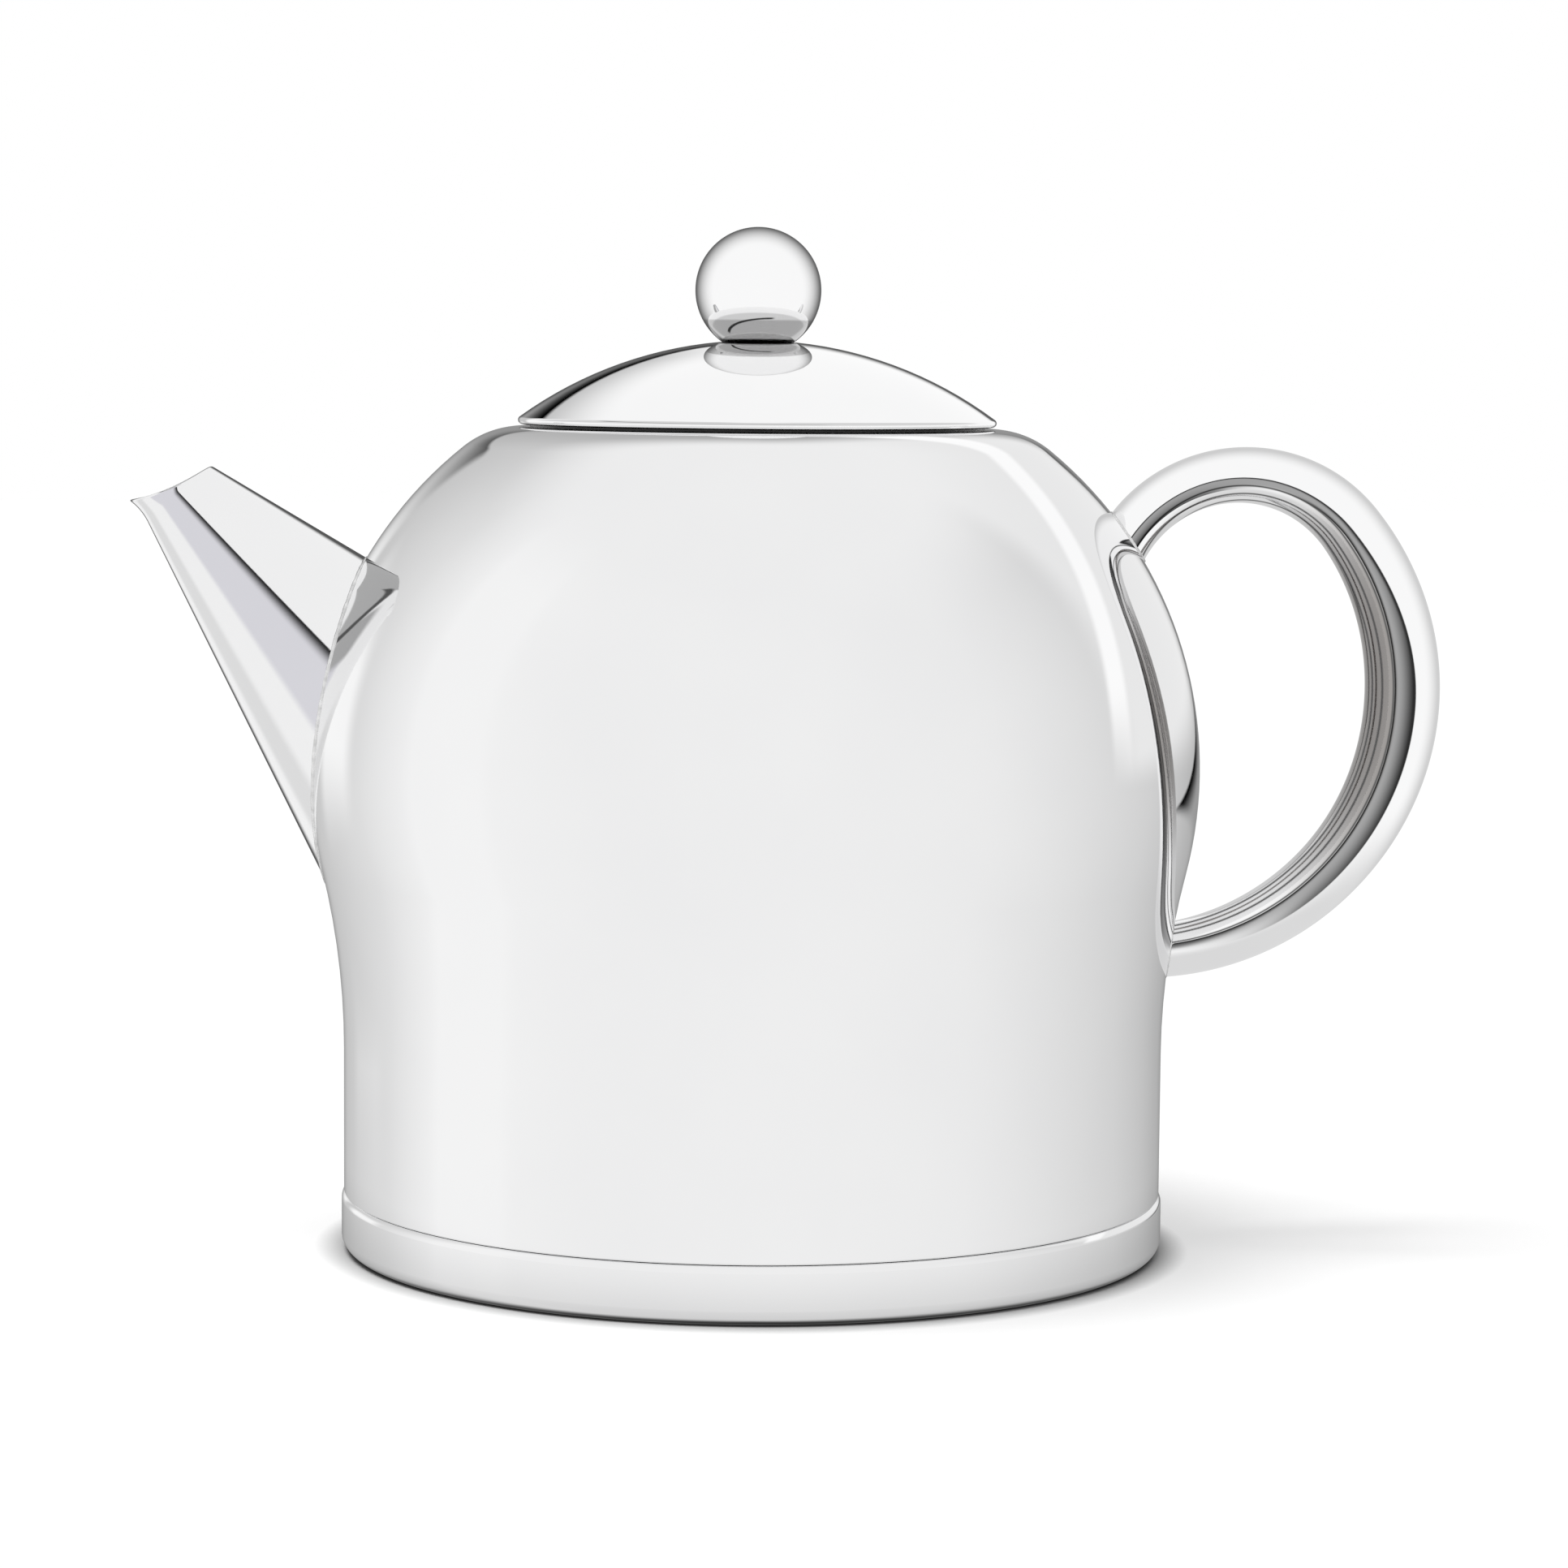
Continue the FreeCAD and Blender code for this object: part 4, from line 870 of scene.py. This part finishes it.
class Dome:
    """A sphere of tones that only the steel sees, lighting some pieces and not others.

    The spheres differ in size, so that none lies on another. Bearings run from the front round to
    the handle's side, and heights from the horizon up, both in degrees about the sphere's centre.
    """

    def __init__(self, name, size, tone, centre=(0, 0, 0)):
        self.name = name
        self.size = size
        self.centre = centre
        self.material, self.tree = new_tree(name)
        self.material.cycles.emission_sampling = "NONE"
        place = node(self.tree, "ShaderNodeTexCoord").outputs["Object"]
        direction = node(self.tree, "ShaderNodeVectorMath", {0: place}, operation="NORMALIZE").outputs[0]
        x, y, z = node(self.tree, "ShaderNodeSeparateXYZ", {0: direction}).outputs
        self.from_back = self.sum("DEGREES", self.sum("ARCCOSINE", y))
        self.bearing = self.sum("DEGREES", self.sum("ARCTAN2", x, self.sum("MULTIPLY", y, -1)))
        self.height = self.sum("DEGREES", self.sum("ARCSINE", z))
        self.tone = grey(tone)

    def sum(self, operation, first, second=0.0):
        """The outcome of one sum."""
        return math_node(self.tree, operation, first, second)

    def ease(self, value, start, end):
        """A share that goes smoothly from 0 to 1 as a value goes from start to end."""
        return ease(self.tree, value, start, end)

    def slant(self, value, slope, start):
        """The height of a straight line at a value, from its slope and its height at 0."""
        return self.sum("ADD", self.sum("MULTIPLY", value, slope), start)

    def oval(self, across, up):
        """The distance from the middle of an oval, from its shares across and up."""
        return self.sum("SQRT", self.sum("ADD", self.sum("POWER", across, 2), self.sum("POWER", up, 2)))

    def within(self, value, low, high, soft):
        """A share that is 1 between two values and falls off softly beyond them."""
        return self.sum("MULTIPLY", self.ease(value, low - soft, low), self.ease(value, high + soft, high))

    def paint(self, tone, *shares):
        """Lay a tone, or a brightness worked out by nodes, over what is there, by the product of shares."""
        share = shares[0]
        for other in shares[1:]:
            share = self.sum("MULTIPLY", share, other)
        above = tone if isinstance(tone, bpy.types.NodeSocket) else grey(tone)
        self.tone = blend(self.tree, share, self.tone, above)

    def by_bearing(self, stops):
        """Tones that drift from stop to stop round the horizon."""
        share = self.sum("ADD", self.sum("DIVIDE", self.bearing, 360), 0.5)
        ramp = node(self.tree, "ShaderNodeValToRGB", {0: share})
        elements = ramp.color_ramp.elements
        while len(elements) < len(stops):
            elements.new(0.5)
        for element, (bearing, tone) in zip(elements, stops):
            element.position = bearing / 360 + 0.5
            element.color = grey(tone)
        ramp.color_ramp.interpolation = "B_SPLINE"
        self.tone = ramp.outputs[0]

    def light(self, state, *pieces):
        """Put the sphere up and let it light only some pieces, or all but some."""
        glow = node(self.tree, "ShaderNodeEmission", {"Color": self.tone})
        clear = node(self.tree, "ShaderNodeBsdfTransparent")
        show(self.tree, node(self.tree, "ShaderNodeAddShader", {0: glow.outputs[0], 1: clear.outputs[0]}))
        mesh = bpy.data.meshes.new(self.name)
        ball = bmesh.new()
        bmesh.ops.create_uvsphere(ball, u_segments=DOME_STEPS, v_segments=DOME_STEPS // 2, radius=self.size)
        ball.to_mesh(mesh)
        ball.free()
        mesh.materials.append(self.material)
        sphere = bpy.data.objects.new(self.name, mesh)
        sphere.location = self.centre
        bpy.context.scene.collection.objects.link(sphere)
        sphere.visible_camera = False
        sphere.visible_diffuse = False
        sphere.visible_shadow = False
        receivers = bpy.data.collections.new(self.name)
        for piece in pieces:
            receivers.objects.link(piece)
        for entry in receivers.collection_objects:
            entry.light_linking.link_state = state
        sphere.light_linking.receiver_collection = receivers


def body_dome(*others):
    """White in front, a soft light on the left, falling to grey behind, with dark strips at the back."""
    dome = Dome("body_tones", size=6.0, tone=1)
    dome.by_bearing((
        (-180, 0.42), (-155, 0.60), (-120, 0.82), (-100, 0.96), (-86, 1.10), (-68, 0.95), (0, 0.965),
        (60, 0.94), (90, 0.83), (120, 0.71), (140, 0.60), (157, 0.46), (180, 0.42)))

    # A pale panel at the back right, with a bright ring round it
    dome.paint(0.9, dome.ease(dome.height, -4, 2), dome.within(dome.bearing, 116, 166, 14))
    ring_across = dome.sum("SUBTRACT", dome.bearing, 150)
    ring_up = dome.sum("MULTIPLY", dome.height, 1.2)
    ring = dome.within(dome.oval(ring_across, ring_up), 40, 45, 3)
    dome.paint(1.08, ring, dome.ease(dome.height, -4, 14))

    # A low soft patch at the back left, and an even ceiling
    dome.paint(1.02, dome.within(dome.bearing, -142, -130, 8), dome.within(dome.height, 0, 8, 12))
    dome.paint(0.955, dome.ease(dome.height, 38, 62))

    # A dark strip at the back left, darkest along its upper edge
    under_left = dome.sum("SUBTRACT", dome.slant(dome.bearing, 0.56, 113), dome.height)
    left = dome.within(dome.bearing, -174, -157, 5)
    above_floor = dome.ease(dome.height, -6, 4)
    dome.paint(dome.ease(under_left, -4, 22), left, dome.ease(under_left, 0, 1.5), above_floor)

    # A dark strip at the back right, darkest along its nearer edge
    edge_right = dome.sum("MINIMUM", dome.slant(dome.height, 5, 171), 165)
    past_right = dome.sum("SUBTRACT", dome.bearing, edge_right)
    grey_right = dome.sum("MULTIPLY", dome.ease(past_right, 2, 18), 0.35)
    right = dome.sum("MULTIPLY", dome.ease(past_right, -1, 2), dome.ease(dome.bearing, 180, 174))
    dome.paint(grey_right, right, dome.within(dome.height, -6, 11, 1.5))

    # Darker straight behind
    dome.paint(0.3, dome.ease(dome.from_back, 24, 8))
    dome.light("EXCLUDE", *others)


def lid_dome(lid_piece):
    """White, with a dark strip at the back left, a thin dark edge at the back right and a grey front.

    The front is what the knob's underside shows, by way of the lid.
    """
    dome = Dome("lid_tones", size=6.2, tone=1.04)

    # A strip at the back left, black along its upper edge, with a soft shade above it
    under = dome.sum("SUBTRACT", dome.slant(dome.bearing, 0.5, 105.7), dome.height)
    dome.paint(0.6, dome.within(dome.bearing, -172, -150, 8), dome.ease(under, -18, 2))
    grey_left = dome.sum("MULTIPLY", dome.ease(under, 1, 16), 0.6)
    left = dome.ease(dome.bearing, -150, -156)
    dome.paint(grey_left, left, dome.ease(under, -1, 1), dome.ease(dome.height, 0, 6))

    # A thin edge at the back right
    dome.paint(0.12, dome.ease(dome.bearing, 163, 170), dome.within(dome.height, 5, 10, 2))

    # A grey front, crossed by a dark streak
    dome.paint(0.75, dome.within(dome.bearing, -130, 130, 10), dome.within(dome.height, 16, 80, 6))
    streak = dome.sum("ADD", dome.height, dome.sum("MULTIPLY", dome.bearing, 0.12))
    dome.paint(0.05, dome.within(dome.bearing, -100, 30, 12), dome.within(streak, 32, 35, 2))

    # Dark straight behind
    dome.paint(0.12, dome.ease(dome.from_back, 20, 10))
    dome.light("INCLUDE", lid_piece)


def knob_dome(knob_piece):
    """White in front, falling to dark grey behind."""
    dome = Dome("knob_tones", size=6.4, tone=1.06)
    dome.paint(0.12, dome.ease(dome.from_back, 92, 14))
    dome.light("INCLUDE", knob_piece)


def spout_dome(spout_piece):
    """White above, a hard dark edge over a pale grey side, and white again below.

    The greys on the left are what the outer wall shows of the spout beside its root.
    """
    dome = Dome("spout_tones", size=6.6, tone=0.97)

    # The pale side, black along its upper edge
    low = dome.ease(dome.height, 33, 32)
    dome.paint((0.745, 0.74, 0.785), low, dome.within(dome.bearing, -58, 8, 8))
    dome.paint(0.02, low, dome.within(dome.bearing, -38, 8, 8), dome.ease(dome.height, 21, 32))

    # Soft greys to the left of it
    dome.paint(0.45, dome.within(dome.bearing, -64, -44, 8), dome.within(dome.height, 24, 44, 6))
    dome.paint(0.80, dome.within(dome.bearing, -122, -104, 14), dome.ease(dome.height, 5, -8))

    # Grey on the far left with a dark lower edge
    far_left = dome.ease(dome.bearing, -82, -88)
    dome.paint(0.48, far_left, dome.ease(dome.height, 30, 32))
    dome.paint(0.12, far_left, dome.within(dome.height, 28, 33, 2))

    # Grey on the upper left with a slanting dark lower edge
    upper_left = dome.within(dome.bearing, -90, -36, 6)
    over_fold = dome.sum("SUBTRACT", dome.height, dome.slant(dome.bearing, -0.47, 21.15))
    dome.paint(0.48, upper_left, dome.ease(over_fold, 0, 1))
    dome.paint(0.1, upper_left, dome.within(over_fold, 0, 3, 3))

    # Dark straight behind
    dome.paint(0.1, dome.ease(dome.from_back, 38, 22))
    dome.light("INCLUDE", spout_piece)


# The dark panel in front of the handle: its middle and its reach, in degrees
PANEL_BEARING = 21
PANEL_HEIGHT = -5
PANEL_ACROSS = 31
PANEL_ABOVE = 21
PANEL_BELOW = 40


def handle_dome(handle_piece):
    """A near sphere, white but for a panel in front that pales to the left from its black right edge."""
    dome = Dome("handle_tones", size=108 * MM, tone=1.06, centre=LOOP_CENTRE)
    dome.paint(0.68, dome.ease(dome.from_back, 108, 62))
    dome.paint(0.78, dome.ease(dome.height, -25, -55))

    # How far a place is from the panel's middle, as a share of its reach
    across = dome.sum("DIVIDE", dome.sum("SUBTRACT", dome.bearing, PANEL_BEARING), PANEL_ACROSS)
    over = dome.sum("SUBTRACT", dome.height, PANEL_HEIGHT)
    up = dome.sum("MAXIMUM", dome.sum("DIVIDE", over, PANEL_ABOVE), dome.sum("DIVIDE", over, -PANEL_BELOW))
    off = dome.oval(across, up)
    inside = dome.ease(off, 1.05, 0.96)

    # The panel's grey gives out at its lower left, and its black edge towards its foot
    paling = dome.sum("MULTIPLY", dome.ease(dome.bearing, 56, 0), 0.42)
    dome.paint(paling, inside, dome.ease(dome.sum("ADD", dome.height, dome.bearing), -38, -8))
    dome.paint(0.03, inside, dome.ease(off, 0.7, 0.92), dome.ease(dome.height, -26, -8))
    dome.light("INCLUDE", handle_piece)


def world():
    """White to the camera and dark to all else."""
    scene_world = bpy.data.worlds.new("studio")
    bpy.context.scene.world = scene_world
    scene_world.use_nodes = True
    tree = scene_world.node_tree
    by_camera = node(tree, "ShaderNodeLightPath").outputs["Is Camera Ray"]
    tree.links.new(by_camera, tree.nodes["Background"].inputs["Strength"])
    tree.nodes["Background"].inputs["Color"].default_value = grey(1)


FLOOR_SIZE = 8.0
FLOOR_GLOW = 0.6
FLOOR_TONE = 0.35
CONTACT_REACH = 6 * MM
CONTACT_DEPTH = 2.0
SHADE_REACH = 60 * MM
SHADE_TONE = 0.45
OCCLUSION_SAMPLES = 16


def floor():
    """White table that keeps a contact shadow and the soft shadow of the key light.

    The steel sees through it to the domes' lower halves, which it dims near the foot.
    """
    mesh = bpy.data.meshes.new("floor")
    half = FLOOR_SIZE / 2
    corners = [(-half, -half, 0), (half, -half, 0), (half, half, 0), (-half, half, 0)]
    mesh.from_pydata(corners, [], [[0, 1, 2, 3]])
    table = bpy.data.objects.new("floor", mesh)
    bpy.context.scene.collection.objects.link(table)
    material, tree = new_tree("floor")
    mesh.materials.append(material)
    contact, shade = (
        node(tree, "ShaderNodeAmbientOcclusion", {"Distance": reach}, samples=OCCLUSION_SAMPLES).outputs["AO"]
        for reach in (CONTACT_REACH, SHADE_REACH))
    glow = node(tree, "ShaderNodeEmission", {
        "Color": grey(FLOOR_GLOW), "Strength": math_node(tree, "POWER", contact, CONTACT_DEPTH)})
    plain = node(tree, "ShaderNodeBsdfDiffuse", {"Color": grey(FLOOR_TONE)})
    lit = node(tree, "ShaderNodeAddShader", {0: glow.outputs[0], 1: plain.outputs[0]})
    clear = node(tree, "ShaderNodeBsdfTransparent", {"Color": blend(tree, shade, grey(SHADE_TONE), grey(1))})
    mirrored = node(tree, "ShaderNodeLightPath").outputs["Is Glossy Ray"]
    show(tree, node(tree, "ShaderNodeMixShader", {0: mirrored, 1: lit.outputs[0], 2: clear.outputs[0]}))


KEY_FROM = Vector((-0.2, -0.1, 1.0))
KEY_SPREAD = 30 * DEGREE
KEY_STRENGTH = 4.0


def key_light():
    """Soft light from the upper left that throws the shadow to the right."""
    light = bpy.data.lights.new("key", "SUN")
    light.angle = KEY_SPREAD
    light.energy = KEY_STRENGTH
    lamp = bpy.data.objects.new("key", light)
    lamp.rotation_euler = (-KEY_FROM).to_track_quat("-Z", "Y").to_euler()
    lamp.visible_glossy = False
    bpy.context.scene.collection.objects.link(lamp)


# Camera

CAMERA_PLACE = Vector((5.75, -903.9, 177.7)) * MM
CAMERA_PITCH = 5.49 * DEGREE
CAMERA_ROLL = 0.475 * DEGREE
CAMERA_LENS = 106.6
SENSOR = 36.0


def camera():
    """The photograph's viewpoint: level with the lid, tipped down a little and rolled slightly."""
    data = bpy.data.cameras.new("camera")
    data.lens = CAMERA_LENS
    data.sensor_width = SENSOR
    eye = bpy.data.objects.new("camera", data)
    tip = Matrix.Rotation(math.pi / 2 - CAMERA_PITCH, 4, "X")
    roll = Matrix.Rotation(CAMERA_ROLL, 4, "Z")
    eye.matrix_world = Matrix.Translation(CAMERA_PLACE) @ tip @ roll
    bpy.context.scene.collection.objects.link(eye)
    bpy.context.scene.camera = eye


seen = dress()
body_dome(seen["spout"], seen["handle"], seen["lid_cover"], seen["knob_ball"])
lid_dome(seen["lid_cover"])
knob_dome(seen["knob_ball"])
spout_dome(seen["spout"])
handle_dome(seen["handle"])
world()
floor()
key_light()
camera()
bpy.context.scene.view_settings.view_transform = "Standard"
